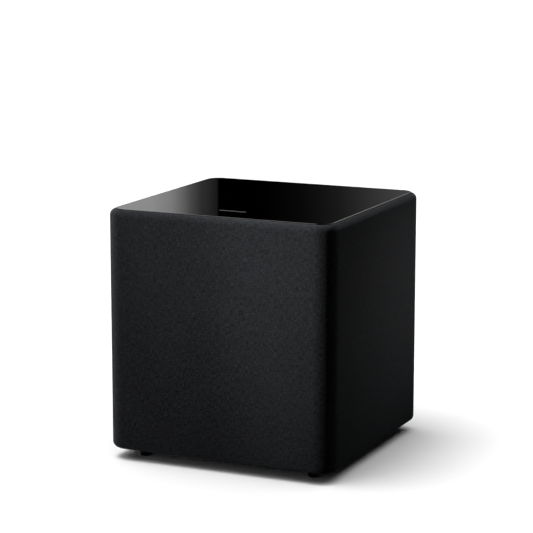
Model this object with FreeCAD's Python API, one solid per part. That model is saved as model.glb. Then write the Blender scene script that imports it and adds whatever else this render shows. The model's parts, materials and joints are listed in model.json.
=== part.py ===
"""A sealed, cube-shaped active subwoofer: a cloth-wrapped cabinet, a gloss top and a rear amplifier.

Units are millimetres. +Z is up, -Y is the front, and the origin is on the floor under the middle of the whole
object, knobs included. Each sub-part is one STEP file in parts/, with the name of its node.
"""

import FreeCAD, Part

import math
import os

from FreeCAD import Vector

# ---- Driving dimensions --------------------------------------------------------------------------
WIDTH = 393.0  # cloth to cloth, left to right
BODY_DEPTH = 389.0  # cloth to cloth, front to back
TOTAL_DEPTH = 410.0  # with the knobs behind
TOTAL_HEIGHT = 410.0
FOOT_HEIGHT = 17.0
CORNER_RADIUS = 30.0  # of the four upright edges, over the cloth
EDGE_RADIUS = 10.0  # of the top and bottom edges, over the cloth
CLOTH = 1.2
RIM_INSET = 9.0  # from the cloth's face to the edge of the top plate
TOP_PLATE_PROUD = 1.2
TOP_PLATE_THICK = 4.0
TOP_PLATE_ROUND = 1.0  # of its upper edge
BOTTOM_COVER_THICK = 3.0
PLATE_GAP = 0.2  # round the top plate and the bottom cover
BOARD = 18.0  # thickness of the cabinet's boards
BAFFLE = 24.0
FRAME_DEPTH = 30.0  # of the frame that holds the cloth off the driver

FRONT = -TOTAL_DEPTH / 2
BACK = FRONT + BODY_DEPTH
BOTTOM = FOOT_HEIGHT
TOP = TOTAL_HEIGHT - TOP_PLATE_PROUD
MIDDLE_Z = (BOTTOM + TOP) / 2

# The cabinet under the cloth
CAB_X = WIDTH / 2 - CLOTH
CAB_FRONT, CAB_BACK = FRONT + CLOTH, BACK - CLOTH
CAB_BOTTOM, CAB_TOP = BOTTOM + CLOTH, TOP - CLOTH
BAFFLE_FRONT = CAB_FRONT + FRAME_DEPTH
BAFFLE_BACK = BAFFLE_FRONT + BAFFLE
REAR_BOARD_FRONT = CAB_BACK - BOARD
COVER_TOP = BOTTOM + BOTTOM_COVER_THICK
PLATE_BOTTOM = TOTAL_HEIGHT - TOP_PLATE_THICK

# Feet
FOOT_RADIUS = 10.0
FOOT_INSET = 46.5  # from the cloth's faces to a foot's axis
FOOT_SCREW_RADIUS = 2.5
INSERT_RADIUS = 4.0
FOOT_SCREW_TOP = CAB_BOTTOM + 14.0
FOOT_COUNTERBORE = (5.2, 5.0)  # radius, depth

# Driver, as (radius, place along Y) from its front
FLANGE_RADIUS, FLANGE_INNER, FLANGE_THICK = 152.0, 137.0, 6.0
DRIVER_GASKET_THICK = 1.5
BAFFLE_HOLE = 141.0
SCREW_CIRCLE, DRIVER_SCREWS = 147.0, 8
GRILLE_RADIUS, GRILLE_THICK, GRILLE_OPENING = 165.5, 1.8, 157.0
CONE_RADIUS, CONE_NECK_RADIUS = 118.0, 33.0
COIL_GAP = 0.6
SPIDER_SEAT = BAFFLE_FRONT + 56.0
MOTOR_FRONT = BAFFLE_FRONT + 74.0
TAG_END = BAFFLE_FRONT + 51.0
LEAD_X, LEAD_Z = -92.0, MIDDLE_Z - 92.0  # where the driver's leads leave its terminals
DRIVER_SCREW_RADIUS, DRIVER_SCREW_HOLE = 2.5, 2.7
FRONT_PLATE_THICK, MAGNET_THICK, YOKE_THICK = 10.0, 38.0, 10.0

# Rear amplifier
AMP_WIDTH, AMP_HEIGHT, AMP_THICK = 250.0, 300.0, 3.0
AMP_CUTOUT_MARGIN = 12.0  # the plate laps the rear board by this much
AMP_CLOTH_LAP = 4.0  # and the cloth's cut edge by this much
AMP_SCREW_INSET = 7.5
AMP_SCREW_RADIUS, AMP_SCREW_HOLE = 1.75, 2.0
SPACER_SCREW_RADIUS = 1.6
AMP_INNER, AMP_FACE = BACK, BACK + AMP_THICK
INPUT_BOARD_BACK = AMP_INNER - 14.0
PCB, BOARD_HALF = 1.6, 104.0  # the circuit boards' thickness and half their width
POWER_BOARD_BACK = AMP_INNER - 32.4
KNOB_END = TOTAL_DEPTH / 2
KNOB_RADIUS = 11.5

# Places on the rear plate: (to the right as seen from behind, up from the plate's middle)
VOLUME_AT, CROSSOVER_AT = (-58.0, 104.0), (58.0, 104.0)
EQ_AT, PHASE_AT, MODE_AT = (-58.0, 52.0), (0.0, 52.0), (58.0, 52.0)
JACKS_AT = ((-70.0, 2.0), (-46.0, 2.0))
PORT_AT, SPEAKER_AT = (4.0, 2.0), (60.0, 2.0)
LED_AT = (0.0, 104.0)
ROCKER_AT, INLET_AT = (-52.0, -104.0), (46.0, -104.0)
EQ_TRAVEL, TOGGLE_TRAVEL = 5.0, 3.0

RUNNING = 0.05  # radial clearance of a shaft in its bush
LOOSE = 0.35  # clearance of a moulded part that slides or tilts

# Controls and sockets
BUSH_RADIUS, SHAFT_RADIUS = 3.5, 3.0
NUB_LENGTH = 2.9
SLOT_HEIGHT = 4.4
EQ_SLOT, TOGGLE_SLOT = [NUB_LENGTH + 2 * LOOSE + travel for travel in (EQ_TRAVEL, TOGGLE_TRAVEL)]
SWITCH_FRONT = AMP_INNER - 0.2
LED_RADIUS = 1.5
PORT_SIZE, SPEAKER_SIZE = (34.0, 13.0), (24.0, 12.0)  # width, height
CUT_GAP = 0.3  # a cut-out is this much wider and taller than what it takes
ROCKER_BODY = (13.0, 20.0)
ROCKER_TILT = 8.0  # degrees each side of level
ROCKER_PIVOT_RADIUS, ROCKER_PIVOT_Y = 1.2, AMP_INNER - 0.5
INLET_BODY = (27.6, 36.0)
INLET_SOCKET_V, INLET_SOCKET = 7.6, (24.4, 16.6)  # the socket's middle above the inlet's, and its size
SOCKET_FLOOR = AMP_FACE - 14.0
FUSE_V, FUSE_SIZE, FUSE_DEPTH = -11.6, (22.0, 7.4), 22.0
JACK_INNER, JACK_OUTER, JACK_FLANGE, JACK_COLLAR = 3.5, 4.15, 4.7, 5.4  # radii
JACK_COLLAR_TOP, JACK_END = AMP_FACE + 1.4, AMP_FACE + 9.5

TINY = 1e-6


# ---- Helpers -------------------------------------------------------------------------------------
def box(x0, x1, y0, y1, z0, z1):
    return Part.makeBox(x1 - x0, y1 - y0, z1 - z0, Vector(x0, y0, z0))


def cyl_y(x, z, radius, y0, y1):
    return Part.makeCylinder(radius, y1 - y0, Vector(x, y0, z), Vector(0, 1, 0))


def cyl_z(x, y, radius, z0, z1):
    return Part.makeCylinder(radius, z1 - z0, Vector(x, y, z0), Vector(0, 0, 1))


def turned(outline, x=0.0, z=MIDDLE_Z):
    """A solid turned about a line along Y through (x, z), from its (radius, y) outline."""
    points = [Vector(r, y, 0) for r, y in outline]
    face = Part.Face(Part.makePolygon(points + points[:1]))
    solid = face.revolve(Vector(0, 0, 0), Vector(0, 1, 0), 360)
    solid.translate(Vector(x, 0, z))
    return solid


def ring_y(inner, outer, y0, y1):
    """A flat ring about the driver's axis."""
    return turned([(inner, y0), (outer, y0), (outer, y1), (inner, y1)])


def turned_z(outline, x, y):
    """A solid turned about an upright line through (x, y), from its (radius, z) outline."""
    points = [Vector(r, 0, z) for r, z in outline]
    face = Part.Face(Part.makePolygon(points + points[:1]))
    solid = face.revolve(Vector(0, 0, 0), Vector(0, 0, 1), 360)
    solid.translate(Vector(x, y, 0))
    return solid


def along(edge, axis):
    """True if a straight edge runs along that axis, 0 to 2."""
    d = edge.Vertexes[-1].Point - edge.Vertexes[0].Point
    return abs(abs(d[axis]) - d.Length) < TINY and d.Length > TINY


def slab(x0, x1, y0, y1, z0, z1, radius, axis=2):
    """A box whose four edges along one axis are rounded."""
    solid = box(x0, x1, y0, y1, z0, z1)
    return solid.makeFillet(radius, [e for e in solid.Edges if along(e, axis)])


def body_block(inset):
    """The cabinet's rounded outer form, moved in from the cloth's surface."""
    x = WIDTH / 2 - inset
    solid = slab(-x, x, FRONT + inset, BACK - inset, BOTTOM + inset, TOP - inset, CORNER_RADIUS - inset)
    z0, z1 = BOTTOM + inset, TOP - inset
    loops = [e for e in solid.Edges if max(v.Z for v in e.Vertexes) - min(v.Z for v in e.Vertexes) < TINY]
    loops = [e for e in loops if min(abs(e.Vertexes[0].Z - z0), abs(e.Vertexes[0].Z - z1)) < TINY]
    return solid.makeFillet(EDGE_RADIUS - inset, loops)


def rim_slab(z0, z1, grow=0.0):
    """The outline inside the rim, which the top plate and the bottom cover share."""
    inset = RIM_INSET - grow
    x = WIDTH / 2 - inset
    return slab(-x, x, FRONT + inset, BACK - inset, z0, z1, CORNER_RADIUS - inset)


def on_plate(place):
    """(x, z) of a place on the rear plate, which is seen from behind."""
    return -place[0], MIDDLE_Z + place[1]


def around(count, start=0.0):
    return [math.radians(start + 360.0 * i / count) for i in range(count)]


def minus(solid, tools):
    for tool in tools:
        solid = solid.cut(tool)
    return solid


def union(solids):
    whole = solids[0]
    for solid in solids[1:]:
        whole = whole.fuse(solid)
    return whole.removeSplitter()


# ---- Places that repeat --------------------------------------------------------------------------
def foot_places():
    x = WIDTH / 2 - FOOT_INSET
    return [(sx * x, y) for sx in (-1, 1) for y in (FRONT + FOOT_INSET, BACK - FOOT_INSET)]


def driver_screw_places():
    return [
        (SCREW_CIRCLE * math.cos(a), MIDDLE_Z + SCREW_CIRCLE * math.sin(a))
        for a in around(DRIVER_SCREWS, 22.5)
    ]


def amp_screw_places():
    x, z = AMP_WIDTH / 2 - AMP_SCREW_INSET, AMP_HEIGHT / 2 - AMP_SCREW_INSET
    sides = [(sx * x, MIDDLE_Z + sz * z / 2 * k) for sx in (-1, 1) for sz in (-1, 1) for k in (1, 2)]
    return sides + [(0, MIDDLE_Z - z), (0, MIDDLE_Z + z)]


def driver_screw_holes(radius, y0, y1):
    return [cyl_y(x, z, radius, y0, y1) for x, z in driver_screw_places()]


def amp_screw_holes(radius, y0, y1):
    return [cyl_y(x, z, radius, y0, y1) for x, z in amp_screw_places()]


# ---- Cabinet -------------------------------------------------------------------------------------
def cabinet_boards():
    """The cabinet's boards and its front frame, each cut from the one rounded form."""
    form = body_block(CLOTH)
    form = form.cut(rim_slab(PLATE_BOTTOM, TOP + 1, PLATE_GAP))
    form = form.cut(rim_slab(BOTTOM - 1, COVER_TOP, PLATE_GAP))
    far = WIDTH
    inner_x, inner_z0, inner_z1 = CAB_X - BOARD, CAB_BOTTOM + BOARD, CAB_TOP - BOARD

    frame = form.common(box(-far, far, CAB_FRONT - 1, BAFFLE_FRONT, 0, far * 2))
    frame = frame.cut(cyl_y(0, MIDDLE_Z, GRILLE_OPENING, CAB_FRONT - 1, BAFFLE_FRONT + 1))
    frame = frame.cut(cyl_y(0, MIDDLE_Z, GRILLE_RADIUS + PLATE_GAP, CAB_FRONT - 1, CAB_FRONT + GRILLE_THICK))

    baffle = form.common(box(-far, far, BAFFLE_FRONT, BAFFLE_BACK, 0, far * 2))
    seat = BAFFLE_FRONT + FLANGE_THICK + DRIVER_GASKET_THICK
    baffle = baffle.cut(cyl_y(0, MIDDLE_Z, FLANGE_RADIUS + 0.5, BAFFLE_FRONT - 1, seat))
    baffle = baffle.cut(cyl_y(0, MIDDLE_Z, BAFFLE_HOLE, BAFFLE_FRONT - 1, BAFFLE_BACK + 1))
    baffle = minus(baffle, driver_screw_holes(DRIVER_SCREW_RADIUS, seat - 1, seat + 14))
    insert_holes = [cyl_z(x, y, INSERT_RADIUS, 0, FOOT_SCREW_TOP) for x, y in foot_places()]
    baffle = minus(baffle, insert_holes)

    rear = form.common(box(-far, far, REAR_BOARD_FRONT, CAB_BACK + 1, 0, far * 2))
    rear = rear.cut(amp_opening(AMP_CUTOUT_MARGIN, REAR_BOARD_FRONT - 1, CAB_BACK + 1))
    rear = minus(rear, amp_screw_holes(AMP_SCREW_RADIUS, CAB_BACK - 12, CAB_BACK + 1))

    middle = form.common(box(-far, far, BAFFLE_BACK, REAR_BOARD_FRONT, 0, far * 2))
    top = middle.common(box(-far, far, FRONT, BACK, inner_z1, far * 2))
    bottom = middle.common(box(-far, far, FRONT, BACK, 0, inner_z0))
    bottom = minus(bottom, insert_holes)
    left = middle.common(box(-far, -inner_x, FRONT, BACK, inner_z0, inner_z1))
    right = middle.common(box(inner_x, far, FRONT, BACK, inner_z0, inner_z1))
    return {
        "front_frame": frame,
        "front_baffle": baffle,
        "rear_panel": rear,
        "top_board": top,
        "bottom_board": bottom,
        "left_side_panel": left,
        "right_side_panel": right,
    }


def window_brace():
    """A board across the cabinet behind the driver, with four windows."""
    y0, thick, bar, rim = 20.0, 18.0, 15.0, 20.0
    x, z = CAB_X - BOARD, (CAB_TOP - CAB_BOTTOM) / 2 - BOARD
    brace = box(-x, x, y0, y0 + thick, MIDDLE_Z - z, MIDDLE_Z + z)
    windows = []
    for sx in (-1, 1):
        for sz in (-1, 1):
            x0, x1 = sorted((sx * bar, sx * (x - rim)))
            z0, z1 = sorted((MIDDLE_Z + sz * bar, MIDDLE_Z + sz * (z - rim)))
            windows.append(slab(x0, x1, y0 - 1, y0 + thick + 1, z0, z1, 18.0, axis=1))
    return minus(brace, windows)


def cloth_wrap():
    """The cloth sleeve: a thin skin on the sides that turns over the top and bottom edges."""
    skin = body_block(0).cut(body_block(CLOTH))
    skin = skin.cut(rim_slab(TOP - 5, TOP + 1, PLATE_GAP))
    skin = skin.cut(rim_slab(BOTTOM - 1, BOTTOM + 5, PLATE_GAP))
    return skin.cut(amp_opening(AMP_CLOTH_LAP, CAB_BACK - 1, BACK + 1))


def driver_grille():
    """The guard that keeps fingers and cloth off the cone: rings and spokes in one flat moulding."""
    y0, y1 = CAB_FRONT, CAB_FRONT + GRILLE_THICK
    rings, ring_width, spoke_width = 6, 3.0, 4.0
    step = (GRILLE_RADIUS - 10.0) / rings
    parts = [ring_y(GRILLE_RADIUS - 12.0, GRILLE_RADIUS, y0, y1)]
    for i in range(1, rings):
        r = i * step
        parts.append(ring_y(r, r + ring_width, y0, y1))
    for a in around(6):
        spoke = box(step, GRILLE_RADIUS - 6.0, y0, y1, -spoke_width / 2, spoke_width / 2)
        spoke.rotate(Vector(0, 0, 0), Vector(0, 1, 0), math.degrees(a))
        spoke.translate(Vector(0, 0, MIDDLE_Z))
        parts.append(spoke)
    return union(parts)


def top_plate():
    plate = rim_slab(PLATE_BOTTOM, TOTAL_HEIGHT)
    upper = [e for e in plate.Edges if min(v.Z for v in e.Vertexes) > TOTAL_HEIGHT - TINY]
    return plate.makeFillet(TOP_PLATE_ROUND, upper).cut(badge(grow=0.05))


def badge(grow=0.0):
    """A plain bar let into the top plate behind its front edge."""
    half_length, half_width, thick, behind_edge = 23.0, 2.5, 0.8, 56.0
    y = FRONT + RIM_INSET + behind_edge
    return slab(
        -half_length - grow,
        half_length + grow,
        y - half_width - grow,
        y + half_width + grow,
        TOTAL_HEIGHT - thick,
        TOTAL_HEIGHT + grow,
        1.2,
    )


def bottom_cover():
    cover = rim_slab(BOTTOM, COVER_TOP)
    lower = [e for e in cover.Edges if max(v.Z for v in e.Vertexes) < BOTTOM + TINY]
    holes = [cyl_z(x, y, INSERT_RADIUS, BOTTOM - 1, COVER_TOP + 1) for x, y in foot_places()]
    return minus(cover.makeChamfer(0.6, lower), holes)


def rubber_feet():
    """Four round feet with a rounded tread and a counterbore for the screw's head."""
    round_r = 2.2
    arc = [
        (FOOT_RADIUS - round_r + round_r * math.sin(a), round_r - round_r * math.cos(a))
        for a in [math.radians(15 * i) for i in range(7)]
    ]
    r_hole, (r_bore, depth) = FOOT_SCREW_RADIUS + 0.1, FOOT_COUNTERBORE
    upper = [(FOOT_RADIUS, BOTTOM), (r_hole, BOTTOM), (r_hole, depth), (r_bore, depth)]
    outline = [(r_bore, 0.0)] + arc + upper
    return Part.makeCompound([turned_z(outline, x, y) for x, y in foot_places()])


def foot_screws():
    """Pan-head screws with a cross-shaped drive, from below."""
    made = []
    floor, head_radius = FOOT_COUNTERBORE[1], 4.6
    pan = [(0, floor - 3.0), (3.2, floor - 3.0), (head_radius, floor - 1.4), (head_radius, floor), (0, floor)]
    for x, y in foot_places():
        screw = turned_z(pan, x, y).fuse(cyl_z(x, y, FOOT_SCREW_RADIUS, floor, FOOT_SCREW_TOP - 1))
        for a in (0, 90):
            slot = box(-2.0, 2.0, -0.5, 0.5, floor - 4, floor - 1.6)
            slot.rotate(Vector(0, 0, 0), Vector(0, 0, 1), a + 45)
            slot.translate(Vector(x, y, 0))
            screw = screw.cut(slot)
        made.append(screw)
    return Part.makeCompound(made)


def foot_inserts():
    """Brass inserts in the cabinet's underside that take the foot screws."""
    made = []
    for x, y in foot_places():
        insert = cyl_z(x, y, INSERT_RADIUS, BOTTOM + 1.0, FOOT_SCREW_TOP)
        made.append(insert.cut(cyl_z(x, y, FOOT_SCREW_RADIUS, BOTTOM, FOOT_SCREW_TOP - 1)))
    return Part.makeCompound(made)


def damping_wadding():
    """Four flat pads of polyester wadding on the side walls, two on each side of the brace."""
    thick, gap = 20.0, 0.6
    x1 = CAB_X - BOARD - gap
    spans = ((BAFFLE_BACK + 4, 16.0), (42.0, REAR_BOARD_FRONT - 4))
    pads = []
    for sx in (-1, 1):
        xs = sorted((sx * x1, sx * (x1 - thick)))
        for y0, y1 in spans:
            pads.append(slab(xs[0], xs[1], y0, y1, CAB_BOTTOM + BOARD + 8, CAB_TOP - BOARD - 8, 8.0, axis=0))
    return Part.makeCompound(pads)


# ---- Driver --------------------------------------------------------------------------------------
def driver_basket():
    """The cast frame: a flange, eight legs round open windows, and a ring on the motor."""
    f = BAFFLE_FRONT
    solid = turned([
        (FLANGE_INNER, f),
        (FLANGE_RADIUS, f),
        (FLANGE_RADIUS, f + FLANGE_THICK),
        (BAFFLE_HOLE - 0.4, f + FLANGE_THICK),
        (BAFFLE_HOLE - 0.4, f + 24),
        (97, f + 63),
        (89, MOTOR_FRONT),
        (62, MOTOR_FRONT),
        (62, MOTOR_FRONT - 5),
        (84, MOTOR_FRONT - 5),
        (84, SPIDER_SEAT),
        (92, SPIDER_SEAT),
        (FLANGE_INNER - 1, f + 22),
    ])
    window = 28.0
    for a in around(8, 22.5):
        face = Part.Face(Part.makePolygon([
            Vector(r, y, 0)
            for r, y in ((80, f + 27), (160, f + 27), (160, f + 53), (80, f + 53), (80, f + 27))
        ]))
        cutter = face.revolve(Vector(0, 0, 0), Vector(0, 1, 0), window)
        cutter.rotate(Vector(0, 0, 0), Vector(0, 1, 0), -math.degrees(a) - window / 2)
        cutter.translate(Vector(0, 0, MIDDLE_Z))
        solid = solid.cut(cutter)
    return minus(solid, driver_screw_holes(DRIVER_SCREW_HOLE, f - 1, f + FLANGE_THICK + 1))


def driver_gasket():
    y0 = BAFFLE_FRONT + FLANGE_THICK
    y1 = y0 + DRIVER_GASKET_THICK
    ring = ring_y(BAFFLE_HOLE, FLANGE_RADIUS, y0, y1)
    return minus(ring, driver_screw_holes(DRIVER_SCREW_HOLE, y0 - 1, y1 + 1))


def driver_screws():
    """Socket-head screws that hold the driver to the baffle."""
    f, made = BAFFLE_FRONT, []
    for x, z in driver_screw_places():
        screw = cyl_y(x, z, 4.2, f - 4, f).fuse(cyl_y(x, z, DRIVER_SCREW_RADIUS, f, f + 20))
        made.append(screw.cut(hex_socket(x, z, 2.0, f - 5, f - 1.5)))
    return Part.makeCompound(made)


def hex_socket(x, z, radius, y0, y1):
    corners = [Vector(x + radius * math.cos(a), y0, z + radius * math.sin(a)) for a in around(6)]
    return Part.Face(Part.makePolygon(corners + corners[:1])).extrude(Vector(0, y1 - y0, 0))


def surround():
    """The rubber half roll between the basket and the cone, with a flat lip at each edge."""
    y, thick, roll = BAFFLE_FRONT, 1.2, 11.0
    r_mid, lip, inner_roll = 127.0, 4.5, roll - thick
    outer = [(r_mid + roll * math.cos(a), y - thick - roll * math.sin(a)) for a in half_turn(12)]
    inner = [(r_mid + inner_roll * math.cos(a), y - thick - inner_roll * math.sin(a)) for a in half_turn(12)]
    outline = [(r_mid + roll + lip, y), (r_mid + roll + lip, y - thick)] + outer
    outline += [(r_mid - roll - lip, y - thick), (r_mid - roll - lip, y), (r_mid - inner_roll, y)]
    return turned(outline + inner[::-1] + [(r_mid + inner_roll, y)])


def half_turn(steps):
    return [math.pi * i / steps for i in range(steps + 1)]


def cone():
    """The stiff cone, with a flat rim under the surround's lip and a neck on the coil former."""
    f = BAFFLE_FRONT
    return turned([
        (110.0, f),
        (CONE_RADIUS, f),
        (CONE_RADIUS, f + 1.6),
        (110.6, f + 1.6),
        (CONE_NECK_RADIUS + 1.5, f + 48.2),
        (CONE_NECK_RADIUS + 1.5, f + 52.8),
        (CONE_NECK_RADIUS, f + 52.8),
        (CONE_NECK_RADIUS, f + 46.3),
    ])


def dust_cap():
    """A shallow dome glued to the cone's face."""
    base_r, height, thick = 58.0, 14.0, 1.0
    base_y = BAFFLE_FRONT + 46.3 - (base_r - CONE_NECK_RADIUS) * 46.3 / 77.0 - 0.3
    sphere = (base_r**2 + height**2) / (2 * height)
    reach = math.asin(base_r / sphere)
    angles = [reach * i / 10 for i in range(11)]
    outer = [(sphere * math.sin(a), base_y + sphere * (math.cos(reach) - math.cos(a))) for a in angles]
    inner = [(r * (1 - thick / base_r), y + thick) for r, y in outer[:-1]]
    return turned(outer + [(base_r - 2 * thick, base_y)] + inner[::-1])


def coil_former():
    return turned([
        (CONE_NECK_RADIUS - 0.5, BAFFLE_FRONT + 46.3),
        (CONE_NECK_RADIUS, BAFFLE_FRONT + 46.3),
        (CONE_NECK_RADIUS, MOTOR_FRONT + 30),
        (CONE_NECK_RADIUS - 0.5, MOTOR_FRONT + 30),
    ])


def coil_winding():
    y0, y1 = MOTOR_FRONT - 8, MOTOR_FRONT + 18
    return turned([
        (CONE_NECK_RADIUS, y0),
        (CONE_NECK_RADIUS + 1.0, y0),
        (CONE_NECK_RADIUS + 1.0, y1),
        (CONE_NECK_RADIUS, y1),
    ])


def spider():
    """The corrugated suspension between the former and the basket's step."""
    thick, waves, swing = 0.8, 6, 1.4
    y = SPIDER_SEAT - thick
    r0, r1, steps = CONE_NECK_RADIUS + 2.0, 85.0, 48
    radii = [r0 + (r1 - r0) * i / steps for i in range(steps + 1)]
    wave = [(r, y - swing + swing * math.cos(2 * math.pi * waves * i / steps)) for i, r in enumerate(radii)]
    front = [(CONE_NECK_RADIUS, y)] + wave + [(91.5, y)]
    back = [(91.5, y + thick)] + [(r, yy + thick) for r, yy in wave[::-1]] + [(CONE_NECK_RADIUS, y + thick)]
    return turned(front + back)


def motor():
    """The magnet between its front plate and the vented pole piece."""
    y0 = MOTOR_FRONT
    y1, y2 = y0 + FRONT_PLATE_THICK, y0 + FRONT_PLATE_THICK + MAGNET_THICK
    y3 = y2 + YOKE_THICK
    gap_r = CONE_NECK_RADIUS + 1.0 + COIL_GAP
    pole_r = CONE_NECK_RADIUS - 0.5 - COIL_GAP
    plate = turned([(gap_r, y0), (75, y0), (75, y1), (gap_r, y1)])
    magnet = turned([(46, y1), (84, y1), (85, y1 + 1), (85, y2 - 1), (84, y2), (46, y2)])
    yoke = turned([
        (12, y0),
        (pole_r, y0),
        (pole_r, y2),
        (78, y2),
        (78, y3 - 2),
        (76, y3),
        (18, y3),
        (12, y3 - 6),
    ])
    return {"magnet_front_plate": plate, "ferrite_magnet": magnet, "pole_yoke": yoke}


def driver_terminals(basket):
    """The tag block on the basket's lower leg."""
    f, y1 = BAFFLE_FRONT, TAG_END - 5
    block = box(-12, 12, f + 34, y1, -138, -110)
    for tag_x in (-6.5, 6.5):
        block = block.fuse(box(tag_x - 2, tag_x + 2, y1, TAG_END, -131.0, -130.0))
    core = turned([(0, f + 24), (BAFFLE_HOLE - 0.4, f + 24), (97, f + 63), (0, f + 63)], z=0)
    block = block.cut(core)
    return on_lower_leg(block).cut(basket)


def on_lower_leg(shape):
    """A shape made under the driver's axis, turned to the basket's lower left leg."""
    shape.rotate(Vector(0, 0, 0), Vector(0, 1, 0), 45)
    shape.translate(Vector(0, 0, MIDDLE_Z))
    return shape


def tinsel_leads():
    """The two braided leads that flex between the tag block and the back of the cone."""
    leads = []
    for side in (-1, 1):
        route = ((12, 40, -128), (25, 40, -125), (25, 37, -103), (19, 31, -84), (14, 31.3, -62))
        points = [Vector(side * x, BAFFLE_FRONT + y, z) for x, y, z in route]
        path = rounded_path(points)
        circle = Part.Wire(Part.makeCircle(0.6, points[0], points[1] - points[0]))
        leads.append(on_lower_leg(path.makePipeShell([circle], True, False)))
    return Part.makeCompound(leads)


def rounded_path(points):
    """Straight runs through the points, joined by tangent arcs as large as the runs allow."""
    edges, at = [], points[0]
    for i in range(1, len(points) - 1):
        before, after = points[i] - points[i - 1], points[i + 1] - points[i]
        turn = before.getAngle(after)
        cut = 0.45 * min(before.Length, after.Length)
        a = points[i] - Vector(before).normalize() * cut
        b = points[i] + Vector(after).normalize() * cut
        radius = cut / math.tan(turn / 2)
        middle = (a + b) * 0.5
        inward = middle - points[i]
        centre = points[i] + Vector(inward).normalize() * math.hypot(radius, cut)
        crown = centre + (points[i] - centre).normalize() * radius
        edges += [Part.LineSegment(at, a).toShape(), Part.Arc(a, crown, b).toShape()]
        at = b
    return Part.Wire(edges + [Part.LineSegment(at, points[-1]).toShape()])


def driver_leads():
    """The two leads from the power board to the driver's tags, which sag a little between their ends."""
    radius, half_pitch = 1.3, 4.6
    start_y, end_y = TAG_END, POWER_BOARD_BACK - PCB
    sag = ((0, 0, 0), (34, 0.6, -3), (84, 2.2, -11), (140, 3, -15), (196, 1.2, -12), (240, 0.2, -4))
    leads = []
    for side in (-1, 1):
        x0, z0 = LEAD_X - side * half_pitch, LEAD_Z + side * half_pitch
        points = [Vector(x0 + dx, start_y + dy, z0 + dz) for dy, dx, dz in sag]
        points.append(Vector(x0, end_y, z0 - 1.0))
        path = rounded_path(points)
        circle = Part.Wire(Part.makeCircle(radius, points[0], points[1] - points[0]))
        leads.append(path.makePipeShell([circle], True, False))
    return Part.makeCompound(leads)


# ---- Rear amplifier ------------------------------------------------------------------------------
def amp_opening(margin, y0, y1):
    """An opening behind the rear plate, smaller than the plate by the margin all round."""
    x, z = AMP_WIDTH / 2 - margin, AMP_HEIGHT / 2 - margin
    return slab(-x, x, y0, y1, MIDDLE_Z - z, MIDDLE_Z + z, 6.0, axis=1)


def centred_slab(place, width, height, y0, y1, radius):
    """A block centred on a place of the rear plate, with its corners rounded as seen from behind."""
    x, z = on_plate(place)
    return slab(x - width / 2, x + width / 2, y0, y1, z - height / 2, z + height / 2, radius, axis=1)


def panel_slot(place, width, height):
    return centred_slab(place, width, height, AMP_INNER - 1, AMP_FACE + 1, 0.8)


def panel_hole(place, radius):
    return cyl_y(*on_plate(place), radius, AMP_INNER - 1, AMP_FACE + 1)


def amp_plate():
    """The rear plate, with a bevelled edge and its cut-outs."""
    x, z = AMP_WIDTH / 2, AMP_HEIGHT / 2
    plate = slab(-x, x, AMP_INNER, AMP_FACE, MIDDLE_Z - z, MIDDLE_Z + z, 8.0, axis=1)
    rim = [e for e in plate.Edges if min(v.Y for v in e.Vertexes) > AMP_FACE - TINY]
    plate = plate.makeChamfer(1.0, rim)
    holes = [panel_hole(place, BUSH_RADIUS + 0.2) for place in (VOLUME_AT, CROSSOVER_AT)]
    holes += [panel_hole(place, JACK_COLLAR + 0.1) for place in JACKS_AT]
    holes.append(panel_hole(LED_AT, LED_RADIUS + 0.1))
    holes.append(panel_slot(EQ_AT, EQ_SLOT, SLOT_HEIGHT))
    holes += [panel_slot(place, TOGGLE_SLOT, SLOT_HEIGHT) for place in (PHASE_AT, MODE_AT)]
    sockets = (
        (PORT_AT, PORT_SIZE),
        (SPEAKER_AT, SPEAKER_SIZE),
        (ROCKER_AT, ROCKER_BODY),
        (INLET_AT, INLET_BODY),
    )
    holes += [panel_slot(place, width + CUT_GAP, height + CUT_GAP) for place, (width, height) in sockets]
    holes += amp_screw_holes(AMP_SCREW_HOLE, AMP_INNER - 1, AMP_FACE + 1)
    return minus(plate, holes)


def amp_gasket():
    """Foam between the rear board and the plate, inside the cloth's cut edge."""
    ring = amp_opening(AMP_CLOTH_LAP + 0.3, CAB_BACK, AMP_INNER)
    ring = ring.cut(amp_opening(AMP_CUTOUT_MARGIN, CAB_BACK - 1, AMP_INNER + 1))
    return minus(ring, amp_screw_holes(AMP_SCREW_HOLE, CAB_BACK - 1, AMP_INNER + 1))


def amp_screws():
    """Button-head screws with a hexagon socket."""
    made = []
    for x, z in amp_screw_places():
        dome = [(3.6, AMP_FACE), (3.4, AMP_FACE + 1.0), (2.2, AMP_FACE + 1.9)]
        head = turned([(0, AMP_FACE)] + dome + [(0, AMP_FACE + 2.1)], x, z)
        screw = head.fuse(cyl_y(x, z, AMP_SCREW_RADIUS, CAB_BACK - 11, AMP_FACE))
        made.append(screw.cut(hex_socket(x, z, 1.3, AMP_FACE + 0.7, AMP_FACE + 3)))
    return Part.makeCompound(made)


def circuit_board(u0, u1, v0, v1, y1):
    return slab(-u1, -u0, y1 - PCB, y1, MIDDLE_Z + v0, MIDDLE_Z + v1, 3.0, axis=1)


def input_board():
    return circuit_board(-BOARD_HALF, BOARD_HALF, -22, 124, INPUT_BOARD_BACK)


def power_board():
    board = circuit_board(-BOARD_HALF, BOARD_HALF, -134, -30, POWER_BOARD_BACK)
    y0, y1 = POWER_BOARD_BACK - PCB - 1, POWER_BOARD_BACK + 1
    return minus(board, [cyl_y(x, z, SPACER_SCREW_RADIUS, y0, y1) for x, z in spacer_places()])


def spacer_places():
    return [on_plate((u, v)) for u in (-98.0, 98.0) for v in (-128.0, -74.0)]


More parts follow.
